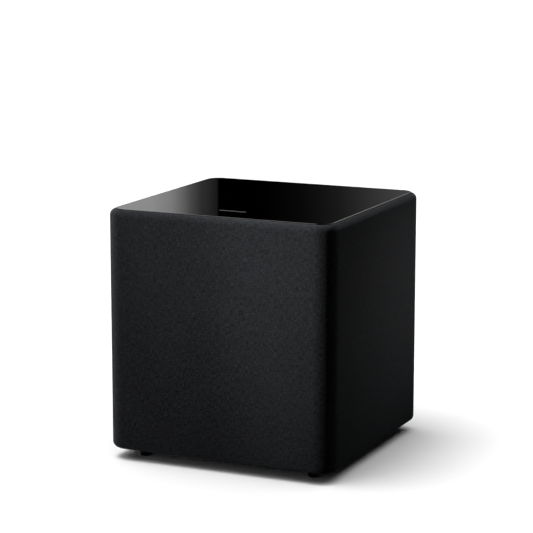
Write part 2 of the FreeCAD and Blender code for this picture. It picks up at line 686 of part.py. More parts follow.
def board_spacers():
    """Four posts from the rear plate to the power board, each with a screw."""
    made = []
    for x, z in spacer_places():
        post = hex_socket(x, z, 4.0, POWER_BOARD_BACK, AMP_INNER)
        screw = cyl_y(x, z, SPACER_SCREW_RADIUS, POWER_BOARD_BACK - PCB, POWER_BOARD_BACK)
        head = cyl_y(x, z, 3.0, POWER_BOARD_BACK - PCB - 2, POWER_BOARD_BACK - PCB)
        made.append(union([post, screw, head]))
    return Part.makeCompound(made)


def heat_sink():
    """A finned aluminium bar between the rear plate and the power board's transistors."""
    half, z0, z1 = 84.0, MIDDLE_Z - 66, MIDDLE_Z - 34
    bar = box(-half, half, POWER_BOARD_BACK, AMP_INNER, z0, z1)
    fins, pitch = 13, 12.0
    starts = [(i - fins / 2) * pitch + 2 for i in range(fins)]
    slots = [box(x, x + 8, POWER_BOARD_BACK + 5, AMP_INNER - 5, z0 - 1, z1 - 8) for x in starts]
    return minus(bar, slots)


def power_transformer():
    """A ferrite core round a taped winding."""
    x, z, y1 = 34.0, MIDDLE_Z - 84.0, POWER_BOARD_BACK - PCB
    core = box(x - 24, x + 24, y1 - 34, y1 - 2, z - 20, z + 20)
    core = core.cut(box(x - 16, x + 16, y1 - 26, y1 - 10, z - 21, z + 21))
    winding = slab(x - 15.8, x + 15.8, y1 - 25.8, y1 - 10.2, z - 25, z + 25, 3.0)
    base = box(x - 26, x + 26, y1 - 2, y1, z - 22, z + 22)
    return Part.makeCompound([core.fuse(base), winding])


def filter_capacitors():
    """Four electrolytic cans, each with a crimped ring near its foot."""
    y1, r, tall = POWER_BOARD_BACK - PCB, 11.0, 38.0
    crimp = [(r, y1 - 5), (r - 0.8, y1 - 4), (r, y1 - 3)]
    outline = [(0, y1 - tall), (r - 1, y1 - tall), (r, y1 - tall + 1)] + crimp + [(r, y1), (0, y1)]
    places = [on_plate((u, v)) for u in (8.0, 34.0) for v in (-70.0, -96.0)]
    return Part.makeCompound([turned(outline, x, z) for x, z in places])


def potentiometers():
    """Two rotary controls: a square body on the board and a threaded bush through the plate."""
    made = []
    for place in (VOLUME_AT, CROSSOVER_AT):
        x, z = on_plate(place)
        body = centred_slab(place, 17, 18, INPUT_BOARD_BACK, AMP_INNER - 4, 1.0)
        bush = cyl_y(x, z, BUSH_RADIUS, AMP_INNER - 4, AMP_FACE + 4)
        bore = cyl_y(x, z, SHAFT_RADIUS + RUNNING, INPUT_BOARD_BACK + 3, AMP_FACE + 5)
        made.append(body.fuse(bush).cut(bore))
    return Part.makeCompound(made)


def shaft(place):
    x, z = on_plate(place)
    return cyl_y(x, z, SHAFT_RADIUS, INPUT_BOARD_BACK + 3.5, KNOB_END - 4)


def knob(place):
    """A fluted knob with a pointer groove, hollow under its skirt to clear the bush."""
    x, z = on_plate(place)
    base = AMP_FACE + 1.2
    solid = turned([
        (0, base),
        (KNOB_RADIUS + 0.8, base),
        (KNOB_RADIUS + 0.8, base + 1.6),
        (KNOB_RADIUS, base + 2.4),
        (KNOB_RADIUS - 0.9, KNOB_END - 1.2),
        (KNOB_RADIUS - 2.0, KNOB_END),
        (0, KNOB_END),
    ], x, z)
    r_flute = KNOB_RADIUS + 0.35
    flutes = [
        cyl_y(x + r_flute * math.cos(a), z + r_flute * math.sin(a), 0.9, base + 2.6, KNOB_END + 1)
        for a in around(30, 6.0)
    ]
    pointer = box(x - 0.5, x + 0.5, KNOB_END - 0.5, KNOB_END + 1, z + 3.0, z + KNOB_RADIUS)
    hollow = cyl_y(x, z, 8.0, base - 1, AMP_FACE + 6)
    socket = cyl_y(x, z, SHAFT_RADIUS, base - 1, KNOB_END - 4)
    return minus(solid, flutes + [pointer, hollow, socket])


def slide_switch_body(place, travel):
    """The switch behind a slot: a box on the input board with a pocket for its slider."""
    x, z = on_plate(place)
    half = 5.2 + travel / 2
    body = box(x - half, x + half, INPUT_BOARD_BACK, SWITCH_FRONT, z - 4.2, z + 4.2)
    half = 2.6 + travel / 2 + LOOSE
    pocket = box(x - half, x + half, SWITCH_FRONT - 4, SWITCH_FRONT + 1, z - 2.4, z + 2.4)
    return body.cut(pocket)


def slide_switches():
    """The three switches behind the rear plate."""
    return Part.makeCompound([
        slide_switch_body(EQ_AT, EQ_TRAVEL),
        slide_switch_body(PHASE_AT, TOGGLE_TRAVEL),
        slide_switch_body(MODE_AT, TOGGLE_TRAVEL),
    ])


def slider(place, offset):
    """A slide switch's moving piece: a shoe in the pocket and a ribbed nub through the slot."""
    x, z = on_plate(place)
    x += offset
    half, end = NUB_LENGTH / 2, AMP_FACE + 1.6
    shoe = box(x - 2.6, x + 2.6, SWITCH_FRONT - 3.7, SWITCH_FRONT - 0.4, z - 2.05, z + 2.05)
    nub = box(x - half, x + half, SWITCH_FRONT - 1, end, z - 1.8, z + 1.8)
    grooves = [box(x + dx - 0.25, x + dx + 0.25, end - 0.6, end + 1, z - 2, z + 2) for dx in (-0.75, 0.75)]
    return minus(union([shoe, nub]), grooves)


def rocker_housing():
    x, z = on_plate(ROCKER_AT)
    w, h = ROCKER_BODY
    body = box(x - w / 2, x + w / 2, AMP_INNER - 18, AMP_FACE, z - h / 2, z + h / 2)
    housing = body.fuse(centred_slab(ROCKER_AT, w + 2.4, h + 2.4, AMP_FACE, AMP_FACE + 1.8, 1.5))
    pocket = box(x - 5.35, x + 5.35, AMP_INNER - 5, AMP_FACE + 3, z - 8.8, z + 8.8)
    return minus(housing, [pocket, rocker_pivot(6.1, ROCKER_PIVOT_RADIUS + RUNNING)])


def rocker_pivot(half, radius):
    x, z = on_plate(ROCKER_AT)
    return Part.makeCylinder(radius, 2 * half, Vector(x - half, ROCKER_PIVOT_Y, z), Vector(1, 0, 0))


def power_rocker():
    """The mains switch's rocker, tilted to its on position, with a pivot stub at each side."""
    x, z = on_plate(ROCKER_AT)
    dished = [(-7.7, 2.4), (-4.0, 1.3), (0, 0.9), (4.0, 1.3), (7.7, 2.4)]
    under = [(7.2, -1.5), (3.0, -3.2), (-3.0, -3.2), (-7.2, -1.5)]
    profile = [(dz, AMP_FACE + y) for dz, y in dished] + [(dz, AMP_INNER + y) for dz, y in under]
    half = 5.0
    points = [Vector(x - half, y, z + dz) for dz, y in profile]
    rocker = Part.Face(Part.makePolygon(points + points[:1])).extrude(Vector(2 * half, 0, 0))
    rocker = rocker.fuse(rocker_pivot(5.9, ROCKER_PIVOT_RADIUS))
    rocker.rotate(Vector(x, ROCKER_PIVOT_Y, z), Vector(1, 0, 0), ROCKER_TILT)
    return rocker


def mains_inlet():
    """A three-pin appliance inlet over a pocket for the fuse drawer."""
    x, z = on_plate(INLET_AT)
    w, h = INLET_BODY
    body = box(x - w / 2, x + w / 2, AMP_INNER - 24, AMP_FACE, z - h / 2, z + h / 2)
    bezel = centred_slab(INLET_AT, w + 4, h + 4, AMP_FACE, AMP_FACE + 2.2, 3.0)
    sw, sh = INLET_SOCKET
    zs, corner = z + INLET_SOCKET_V, 4.0
    outline = [
        (-sw / 2, -sh / 2),
        (sw / 2, -sh / 2),
        (sw / 2, sh / 2 - corner),
        (sw / 2 - corner, sh / 2),
        (-sw / 2 + corner, sh / 2),
        (-sw / 2, sh / 2 - corner),
    ]
    points = [Vector(x + dx, SOCKET_FLOOR, zs + dz) for dx, dz in outline]
    socket = Part.Face(Part.makePolygon(points + points[:1])).extrude(Vector(0, 30, 0))
    fw, fh = FUSE_SIZE
    zf = z + FUSE_V
    pocket = box(
        x - fw / 2 - LOOSE,
        x + fw / 2 + LOOSE,
        AMP_FACE - FUSE_DEPTH - LOOSE,
        AMP_FACE + 4,
        zf - fh / 2 - LOOSE,
        zf + fh / 2 + LOOSE,
    )
    notch = box(x - 4, x + 4, AMP_FACE - 3, AMP_FACE + 4, zf - fh / 2 - 1.6, zf)
    return minus(body.fuse(bezel), [socket, pocket, notch] + inlet_pin_solids())


def inlet_pin_solids():
    x, z = on_plate(INLET_AT)
    z += INLET_SOCKET_V
    places = [(x + dx, z + dz) for dx, dz in ((-7.0, -2.0), (0.0, 2.0), (7.0, -2.0))]
    return [box(px - 1, px + 1, SOCKET_FLOOR - 4, AMP_FACE, pz - 2, pz + 2) for px, pz in places]


def fuse_drawer():
    """A drawer that holds the fuse, with a lip to pull."""
    x, z = on_plate(INLET_AT)
    fw, fh = FUSE_SIZE
    zf = z + FUSE_V
    drawer = box(x - fw / 2, x + fw / 2, AMP_FACE - FUSE_DEPTH, AMP_FACE + 2.6, zf - fh / 2, zf + fh / 2)
    tray = box(x - 10.2, x + 10.2, AMP_FACE - FUSE_DEPTH + 1, AMP_FACE - 1.5, zf - 2.7, zf + fh)
    fuse = Part.makeCylinder(2.5, 20.0, Vector(x - 10, AMP_FACE - 8, zf + 0.1), Vector(1, 0, 0))
    grip = box(x - 3, x + 3, AMP_FACE + 1.4, AMP_FACE + 3, zf - fh / 2 - 1, zf - fh / 2 + 2.2)
    return Part.makeCompound([drawer.cut(tray).cut(grip), fuse])


def line_in_jacks():
    """The metal barrels of the two phono sockets."""
    y0 = AMP_INNER + 1
    outline = [
        (JACK_INNER, y0),
        (JACK_FLANGE, y0),
        (JACK_FLANGE, JACK_COLLAR_TOP),
        (JACK_OUTER, JACK_COLLAR_TOP),
        (JACK_OUTER, JACK_END - 0.3),
        (JACK_OUTER - 0.3, JACK_END),
        (JACK_INNER, JACK_END),
    ]
    return Part.makeCompound([turned(outline, *on_plate(p)) for p in JACKS_AT])


def line_in_insulators():
    """The moulded cores and collars of the phono sockets, down to the input board."""
    y0, y1 = INPUT_BOARD_BACK, JACK_END - 0.8
    outline = [
        (0, y0),
        (JACK_COLLAR, y0),
        (JACK_COLLAR, AMP_FACE),
        (6.4, AMP_FACE),
        (6.4, JACK_COLLAR_TOP),
        (JACK_FLANGE, JACK_COLLAR_TOP),
        (JACK_FLANGE, AMP_INNER + 1),
        (JACK_INNER, AMP_INNER + 1),
        (JACK_INNER, y1),
        (1.6, y1),
        (1.6, AMP_INNER - 2),
        (0, AMP_INNER - 2),
    ]
    return Part.makeCompound([turned(outline, *on_plate(p)) for p in JACKS_AT])


def speaker_input_socket():
    """A four-way header for the speaker-level plug: a shroud round four pins."""
    x, z = on_plate(SPEAKER_AT)
    w, h = SPEAKER_SIZE
    floor, pitch = AMP_FACE - 9, 5.08
    body = centred_slab(SPEAKER_AT, w, h, INPUT_BOARD_BACK, AMP_FACE + 1.4, 0.6)
    half_w, half_h = w / 2 - 1, h / 2 - 1.4
    body = body.cut(box(x - half_w, x + half_w, floor, AMP_FACE + 3, z - half_h, z + half_h))
    pins = [cyl_y(x + (i - 1.5) * pitch, z - 2.6, 0.6, floor, AMP_FACE - 1.5) for i in range(4)]
    return union([body] + pins)


def expansion_port():
    """The socket for a wireless receiver: a shroud over a flat contact tongue."""
    x, z = on_plate(PORT_AT)
    w, h = PORT_SIZE
    floor, wall = AMP_FACE - 12, 1.6
    half_w, half_h = w / 2 - wall, h / 2 - wall
    body = centred_slab(PORT_AT, w, h, INPUT_BOARD_BACK, AMP_FACE + 0.8, 1.2)
    body = body.cut(box(x - half_w, x + half_w, floor, AMP_FACE + 3, z - half_h, z + half_h))
    tongue = box(x - w / 2 + 4, x + w / 2 - 4, floor, AMP_FACE - 2.5, z - 3.4, z - 1.8)
    return union([body, tongue])


def status_led():
    """A light pipe with a domed end."""
    x, z = on_plate(LED_AT)
    end = AMP_FACE + 0.9
    return turned([
        (0, INPUT_BOARD_BACK),
        (LED_RADIUS, INPUT_BOARD_BACK),
        (LED_RADIUS, end - 0.7),
        (LED_RADIUS * 0.8, end - 0.25),
        (0, end),
    ], x, z)


# ---- Build ---------------------------------------------------------------------------------------
def build():
    nodes = cabinet_boards()
    basket = driver_basket()
    nodes.update(motor())
    nodes.update({
        "window_brace": window_brace(),
        "fabric_wrap": cloth_wrap(),
        "driver_grille": driver_grille(),
        "top_plate": top_plate(),
        "badge_bar": badge(),
        "bottom_cover": bottom_cover(),
        "rubber_feet": rubber_feet(),
        "foot_screws": foot_screws(),
        "foot_inserts": foot_inserts(),
        "damping_wadding": damping_wadding(),
        "driver_basket": basket,
        "driver_gasket": driver_gasket(),
        "driver_screws": driver_screws(),
        "surround": surround(),
        "cone": cone(),
        "dust_cap": dust_cap(),
        "coil_former": coil_former(),
        "coil_winding": coil_winding(),
        "spider": spider(),
        "driver_terminals": driver_terminals(basket),
        "tinsel_leads": tinsel_leads(),
        "driver_leads": driver_leads(),
        "amp_plate": amp_plate(),
        "amp_gasket": amp_gasket(),
        "amp_screws": amp_screws(),
        "input_board": input_board(),
        "power_board": power_board(),
        "board_spacers": board_spacers(),
        "heat_sink": heat_sink(),
        "power_transformer": power_transformer(),
        "filter_capacitors": filter_capacitors(),
        "potentiometers": potentiometers(),
        "volume_shaft": shaft(VOLUME_AT),
        "crossover_shaft": shaft(CROSSOVER_AT),
        "volume_knob": knob(VOLUME_AT),
        "crossover_knob": knob(CROSSOVER_AT),
        "slide_switches": slide_switches(),
        "eq_slider": slider(EQ_AT, 0.0),
        "phase_slider": slider(PHASE_AT, -TOGGLE_TRAVEL / 2),
        "mode_slider": slider(MODE_AT, -TOGGLE_TRAVEL / 2),
        "rocker_housing": rocker_housing(),
        "power_rocker": power_rocker(),
        "mains_inlet": mains_inlet(),
        "inlet_pins": Part.makeCompound(inlet_pin_solids()),
        "fuse_drawer": fuse_drawer(),
        "line_in_jacks": line_in_jacks(),
        "line_in_insulators": line_in_insulators(),
        "speaker_input_socket": speaker_input_socket(),
        "expansion_port": expansion_port(),
        "status_led": status_led(),
    })
    os.makedirs("parts", exist_ok=True)
    for name, shape in nodes.items():
        solids = shape.Solids
        if not solids or not all(s.isValid() and s.Volume > 0 for s in solids):
            raise SystemExit(f"{name} is not made of valid solids")
        shape = solids[0] if len(solids) == 1 else Part.makeCompound(solids)
        shape.exportStep(f"parts/{name}.step")
        print(f"{name}: {len(solids)} solid(s), {shape.Volume / 1000:.2f} cm3")
    print(len(nodes), "nodes")


build()
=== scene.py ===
import json
import math

import bmesh
import bpy
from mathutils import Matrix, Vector, noise


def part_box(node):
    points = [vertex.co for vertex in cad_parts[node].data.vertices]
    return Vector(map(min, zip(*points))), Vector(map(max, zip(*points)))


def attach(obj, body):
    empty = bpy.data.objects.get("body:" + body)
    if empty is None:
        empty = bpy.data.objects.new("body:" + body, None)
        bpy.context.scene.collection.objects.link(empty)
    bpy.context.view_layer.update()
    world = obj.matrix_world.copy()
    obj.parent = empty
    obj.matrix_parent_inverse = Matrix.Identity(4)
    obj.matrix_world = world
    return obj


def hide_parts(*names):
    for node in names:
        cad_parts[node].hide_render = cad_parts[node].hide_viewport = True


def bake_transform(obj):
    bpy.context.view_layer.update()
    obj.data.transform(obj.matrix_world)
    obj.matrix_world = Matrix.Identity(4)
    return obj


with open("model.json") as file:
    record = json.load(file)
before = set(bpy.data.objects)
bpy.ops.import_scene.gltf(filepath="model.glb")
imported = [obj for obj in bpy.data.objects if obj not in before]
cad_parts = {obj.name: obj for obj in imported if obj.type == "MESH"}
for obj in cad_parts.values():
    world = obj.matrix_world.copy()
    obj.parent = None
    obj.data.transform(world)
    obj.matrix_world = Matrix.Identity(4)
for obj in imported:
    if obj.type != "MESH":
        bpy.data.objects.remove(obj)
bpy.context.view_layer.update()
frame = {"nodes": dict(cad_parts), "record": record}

MM = 0.001

# ---- Places from the frame, and sizes ------------------------------------------------------------
CLOTH_LO, CLOTH_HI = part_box("fabric_wrap")
AMP_LO, AMP_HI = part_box("amp_plate")
BODY_WIDTH = CLOTH_HI.x - CLOTH_LO.x
BODY_CENTRE_Y = (CLOTH_LO.y + CLOTH_HI.y) / 2
CORNER_RADIUS = 30 * MM
EDGE_RADIUS = 10 * MM
CLOTH_THICK = 1.2 * MM
CLOTH_RIM = 8.8 * MM
AMP_LAP = 4 * MM
OPEN_X = AMP_HI.x - AMP_LAP  # the cloth's opening behind the amplifier's plate
OPEN_Z0, OPEN_Z1 = AMP_LO.z + AMP_LAP, AMP_HI.z - AMP_LAP
SURROUND_LO, SURROUND_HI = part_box("surround")
SPIDER_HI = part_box("spider")[1]
DRIVER_Z = (CLOTH_LO.z + CLOTH_HI.z) / 2
RING_STEPS = 192  # flat steps round a flexing ring
SHARP_ANGLE = math.radians(40)


# ---- Mesh helpers --------------------------------------------------------------------------------
def mesh_object(name, verts, faces, uvs=None, smooth=True):
    """A mesh object from lists of points and faces; uvs holds one (u, v) for each point."""
    mesh = bpy.data.meshes.new(name)
    mesh.from_pydata(verts, [], faces)
    mesh.validate()
    for polygon in mesh.polygons:
        polygon.use_smooth = smooth
    if smooth:
        mesh.set_sharp_from_angle(angle=SHARP_ANGLE)
    if uvs:
        layer = mesh.uv_layers.new(name="UVMap")
        for loop in mesh.loops:
            layer.data[loop.index].uv = uvs[loop.vertex_index]
    obj = bpy.data.objects.new(name, mesh)
    bpy.context.scene.collection.objects.link(obj)
    return obj


def spread(start, end, count):
    """Evenly spaced values from start, without the end."""
    return [start + (end - start) * i / count for i in range(count)]


# ---- Cloth wrap ----------------------------------------------------------------------------------
def outline_stations():
    """(x, y, nx, ny) round the cabinet at its widest, breaking at the rear opening's edges."""
    r = CORNER_RADIUS
    x0, x1, y0, y1 = CLOTH_LO.x, CLOTH_HI.x, CLOTH_LO.y, CLOTH_HI.y
    turns, per_side, beside = 18, 36, 6
    rear = spread(x1 - r, OPEN_X, beside) + spread(OPEN_X, -OPEN_X, per_side)
    rear += spread(-OPEN_X, x0 + r, beside)
    stations = [(x, y0, 0, -1) for x in spread(x0 + r, x1 - r, per_side)]
    stations += corner(x1 - r, y0 + r, -90, turns)
    stations += [(x1, y, 1, 0) for y in spread(y0 + r, y1 - r, per_side)]
    stations += corner(x1 - r, y1 - r, 0, turns)
    stations += [(x, y1, 0, 1) for x in rear]
    stations += corner(x0 + r, y1 - r, 90, turns)
    stations += [(x0, y, -1, 0) for y in spread(y1 - r, y0 + r, per_side)]
    stations += corner(x0 + r, y0 + r, 180, turns)
    return stations


def corner(cx, cy, start, turns):
    """Stations round one upright edge, starting at an angle in degrees."""
    made = []
    for angle in spread(math.radians(start), math.radians(start + 90), turns):
        nx, ny = math.cos(angle), math.sin(angle)
        made.append((cx + CORNER_RADIUS * nx, cy + CORNER_RADIUS * ny, nx, ny))
    return made


def cloth_profile():
    """(inset, height, inset direction, height direction) from the bottom rim up to the top rim."""
    r, z0, z1 = EDGE_RADIUS, CLOTH_LO.z, CLOTH_HI.z
    rim = math.asin((r - CLOTH_RIM) / r)
    steps, beside, behind_plate = 12, 8, 32
    angles = spread(-math.pi / 2 + rim, 0, steps)
    rows = [(r - r * math.cos(a), z0 + r + r * math.sin(a), math.cos(a), math.sin(a)) for a in angles]
    heights = spread(z0 + r, OPEN_Z0, beside) + spread(OPEN_Z0, OPEN_Z1, behind_plate)
    heights += spread(OPEN_Z1, z1 - r, beside)
    rows += [(0, z, 1, 0) for z in heights]
    angles = spread(0, math.pi / 2 - rim, steps) + [math.pi / 2 - rim]
    rows += [(r - r * math.cos(a), z1 - r + r * math.sin(a), math.cos(a), math.sin(a)) for a in angles]
    return rows


def make_cloth():
    """The cloth as one closed sheet, with a hole behind the amplifier's plate."""
    stations, rows = outline_stations(), cloth_profile()
    n, m = len(stations), len(rows)
    along, up = [0.0], [0.0]
    for i in range(n):
        a, b = stations[i], stations[(i + 1) % n]
        along.append(along[-1] + math.dist(a[:2], b[:2]))
    for j in range(1, m):
        up.append(up[-1] + math.dist(rows[j - 1][:2], rows[j][:2]))
    verts, uvs = [], []
    for depth in (0.0, CLOTH_THICK):
        for j, (inset, z, out, rise) in enumerate(rows):
            for i in range(n + 1):
                x, y, nx, ny = stations[i % n]
                back = inset + depth * out
                verts.append((x - nx * back, y - ny * back, z - depth * rise))
                uvs.append((along[i], up[j]))
    layer = (n + 1) * m

    def at(i, j, inner=0):
        return inner * layer + j * (n + 1) + i

    tiny = 1e-5

    def open_cell(i, j):
        a, b = stations[i % n], stations[(i + 1) % n]
        at_back = a[3] > 0.99 and abs(a[0]) < OPEN_X + tiny and abs(b[0]) < OPEN_X + tiny
        return at_back and rows[j][1] > OPEN_Z0 - tiny and rows[j + 1][1] < OPEN_Z1 + tiny

    faces = []
    for j in range(m - 1):
        for i in range(n):
            if open_cell(i, j):
                continue
            faces.append((at(i, j), at(i + 1, j), at(i + 1, j + 1), at(i, j + 1)))
            faces.append((at(i, j + 1, 1), at(i + 1, j + 1, 1), at(i + 1, j, 1), at(i, j, 1)))
            for (di, dj), (p, q) in {
                (0, -1): ((i + 1, j), (i, j)),
                (0, 1): ((i, j + 1), (i + 1, j + 1)),
                (-1, 0): ((i, j), (i, j + 1)),
                (1, 0): ((i + 1, j + 1), (i + 1, j)),
            }.items():
                outside = not 0 <= j + dj < m - 1
                if outside or open_cell((i + di) % n, j + dj):
                    faces.append((at(*p), at(*q), at(*q, 1), at(*p, 1)))
    obj = mesh_object("cloth_wrap", verts, faces, uvs)
    weld(obj)
    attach(obj, "cabinet")
    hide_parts("fabric_wrap")
    return obj


def weld(obj):
    """Joins the points that lie on each other, such as along the sheet's lap."""
    work = bmesh.new()
    work.from_mesh(obj.data)
    bmesh.ops.remove_doubles(work, verts=work.verts, dist=1e-6)
    bmesh.ops.recalc_face_normals(work, faces=work.faces)
    work.to_mesh(obj.data)
    work.free()


# ---- Pieces that flex or are stuffed -------------------------------------------------------------
def half_turn(steps):
    """Angles from 0 to half a turn, both ends included."""
    return [math.pi * i / steps for i in range(steps + 1)]


def flexing_ring(node, sectors, outline):
    """A ring about the driver's axis in radial parts."""
    steps = RING_STEPS // sectors
    n = len(outline)
    half = math.pi / sectors
    for k in range(sectors):
        middle = 2 * half * k
        angles = [middle - half + 2 * half * i / steps for i in range(steps + 1)]
        verts = [(r * math.cos(a), y, DRIVER_Z + r * math.sin(a)) for a in angles for r, y in outline]
        faces = []
        for i in range(steps):
            for j in range(n):
                a, b = i * n + j, i * n + (j + 1) % n
                faces.append((a, b, b + n, a + n))
        obj = mesh_object(f"{node}_{k + 1:02d}", verts, faces)
        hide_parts(node)
        obj.data.materials.append(finish_for(slot_of(node)))
        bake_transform(obj)


def make_surround():
    """The rubber half roll, with a flat lip glued to the basket and one glued to the cone; only the span
    between the two bends, so that neither lip leaves what it is glued to."""
    radius, front, y = SURROUND_HI.x, SURROUND_LO.y, SURROUND_HI.y
    lip, thick = 4.5 * MM, 1.2 * MM
    roll = y - thick - front
    mid = radius - lip - roll
    inner = roll - thick

    def arc(size):
        return [(mid + size * math.cos(a), y - thick - size * math.sin(a)) for a in half_turn(20)]

    lip_in = mid - roll - lip
    outline = [(radius, y), (radius, y - thick)] + arc(roll)
    outline += [(lip_in, y - thick), (lip_in, y), (mid - inner, y)]
    outline += arc(inner)[::-1] + [(mid + inner, y)]
    flexing_ring("surround", 32, outline)


def make_spider():
    """The corrugated cloth disc that centres the coil, glued to the basket and to the former."""
    radius, back = SPIDER_HI.x, SPIDER_HI.y
    hub, thick, waves, swing = 33 * MM, 0.8 * MM, 6, 1.4 * MM
    hub_lip, rim_lip, steps = 2 * MM, 6.5 * MM, 60
    y = back - thick
    first, last = hub + hub_lip, radius - rim_lip
    crests = []
    for i in range(steps + 1):
        sag = swing * (1 - math.cos(2 * math.pi * waves * i / steps))
        crests.append((first + (last - first) * i / steps, y - sag))
    outline = [(hub, y)] + crests + [(radius, y), (radius, back)]
    outline += [(r, level + thick) for r, level in crests[::-1]] + [(hub, back)]
    flexing_ring("spider", 16, outline)


def make_tinsel():
    """The two braided leads from the driver's tags to the cone."""
    front, radius = SURROUND_HI.y, 0.6 * MM
    route = ((12, 40, -128), (18.5, 40, -126.5), (24, 39.4, -122), (25, 38.4, -114), (23.6, 36.2, -100),
             (20.5, 33, -90), (18.2, 31.5, -80), (16.2, 31.2, -72), (14, 31.3, -62))
    leg = math.radians(45)
    steps, sides = 5, 10

    def on_leg(x, y, z):
        turned = (x * math.cos(leg) + z * math.sin(leg), z * math.cos(leg) - x * math.sin(leg))
        return Vector((turned[0] * MM, front + y * MM, DRIVER_Z + turned[1] * MM))

    verts, faces = [], []
    for side in (-1, 1):
        points = smooth_path([on_leg(side * x, y, z) for x, y, z in route], steps)
        add_tube(verts, faces, points, radius, sides)
    obj = mesh_object("tinsel_braids", verts, faces)
    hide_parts("tinsel_leads")
    obj.data.materials.append(finish_for("tinsel_braid"))
    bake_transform(obj)


def smooth_path(points, steps):
    """A smooth line through the points."""
    ends = [points[0] * 2 - points[1]] + points + [points[-1] * 2 - points[-2]]
    made = []
    for a, b, c, d in zip(ends, ends[1:], ends[2:], ends[3:]):
        for i in range(steps):
            t = i / steps
            square = 2 * a - 5 * b + 4 * c - d
            cube = 3 * (b - c) + d - a
            made.append(0.5 * (2 * b + (c - a) * t + square * t**2 + cube * t**3))
    return made + [points[-1]]


def add_tube(verts, faces, points, radius, sides):
    """Adds a closed round tube along the points."""
    base = len(verts)
    side = (points[1] - points[0]).orthogonal().normalized()
    for i, point in enumerate(points):
        ahead = (points[min(i + 1, len(points) - 1)] - points[max(i - 1, 0)]).normalized()
        side = (side - ahead * side.dot(ahead)).normalized()
        other = ahead.cross(side)
        for k in range(sides):
            angle = 2 * math.pi * k / sides
            verts.append(point + (side * math.cos(angle) + other * math.sin(angle)) * radius)
    for i in range(len(points) - 1):
        for k in range(sides):
            a, b = base + i * sides + k, base + i * sides + (k + 1) % sides
            faces.append((a, b, b + sides, a + sides))
    last = base + (len(points) - 1) * sides
    faces.append(tuple(range(base, base + sides))[::-1])
    faces.append(tuple(range(last, last + sides)))


def make_wadding():
    """Four crowned pads of wadding on the side walls, two on each side of the brace."""
    lo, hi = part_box("damping_wadding")
    brace_lo, brace_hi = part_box("window_brace")
    gap = 4 * MM
    for side, wall in (("left", lo.x), ("right", hi.x)):
        for place, y0, y1 in (("front", lo.y, brace_lo.y - gap), ("back", brace_hi.y + gap, hi.y)):
            make_pad(f"wadding_{side}_{place}", wall, y0, y1, lo.z, hi.z)


def make_pad(name, wall, y0, y1, z0, z1):
    """A stuffed pad, flat against the wall, whose sides pull in between its corners."""
    thick, pull, wide, tall = 20 * MM, 3.5 * MM, 36, 60
    large, small, spare, border_share = 3.0 * MM, 1.4 * MM, 3 * MM, 0.12
    inward = -math.copysign(1, wall)

    def rounded(t):
        return math.sqrt(max(0.0, 1 - abs(2 * t - 1) ** 6))

    verts, faces = [], []
    for stuffed in (False, True):
        for j in range(tall + 1):
            for i in range(wide + 1):
                u, v = i / wide, j / tall
                y = y0 + (y1 - y0) * u - pull * (2 * u - 1) * (1 - (2 * v - 1) ** 2)
                z = z0 + (z1 - z0) * v - pull * (2 * v - 1) * (1 - (2 * u - 1) ** 2)
                spot = Vector((y, z, wall))
                lump = large * noise.noise(spot * 26) + small * noise.noise(spot * 110)
                crown = (thick - spare + lump) * (border_share + (1 - border_share) * rounded(u) * rounded(v))
                verts.append((wall + inward * min(thick, crown) * stuffed, y, z))
    row, layer = wide + 1, (wide + 1) * (tall + 1)
    for j in range(tall):
        for i in range(wide):
            a = j * row + i
            faces.append((a, a + 1, a + row + 1, a + row))
            faces.append((a + layer + row, a + layer + row + 1, a + layer + 1, a + layer))
    border = list(range(wide)) + [j * row + wide for j in range(tall)]
    border += [tall * row + i for i in range(wide, 0, -1)] + [j * row for j in range(tall, 0, -1)]
    for a, b in zip(border, border[1:] + border[:1]):
        faces.append((a, a + layer, b + layer, b))
    obj = mesh_object(name, verts, faces)
    weld(obj)
    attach(obj, "cabinet")
    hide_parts("damping_wadding")
    obj.data.materials.append(finish_for("wadding"))


# ---- Printed marks on the rear plate -------------------------------------------------------------
INK_THICK = 0.05 * MM


def middle_of(node):
    """The middle of a node's box, seen along the driver's axis."""
    lo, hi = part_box(node)
    return (lo.x + hi.x) / 2, (lo.z + hi.z) / 2


def make_pointers():
    """White ink in the groove on each knob's face."""
    for knob, body in (("volume_knob", "volume_control"), ("crossover_knob", "crossover_control")):
        x, z = middle_of(knob)
        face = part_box(knob)[1].y
        half, inner, outer, sunk = 0.42 * MM, 3.3 * MM, 9.3 * MM, 0.2 * MM
        low, high = z + inner, z + outer
        corners = [(x - half, low), (x + half, low), (x + half, high), (x - half, high)]
        verts = [(a, y, b) for y in (face - sunk, face - 2 * sunk) for a, b in corners]
        sides = [(k, (k + 1) % 4, (k + 1) % 4 + 4, k + 4) for k in range(4)]
        obj = mesh_object(f"{knob}_line", verts, [(0, 3, 2, 1), (4, 5, 6, 7)] + sides, smooth=False)
        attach(obj, body)
        obj.data.materials.append(finish_for("printing_ink"))


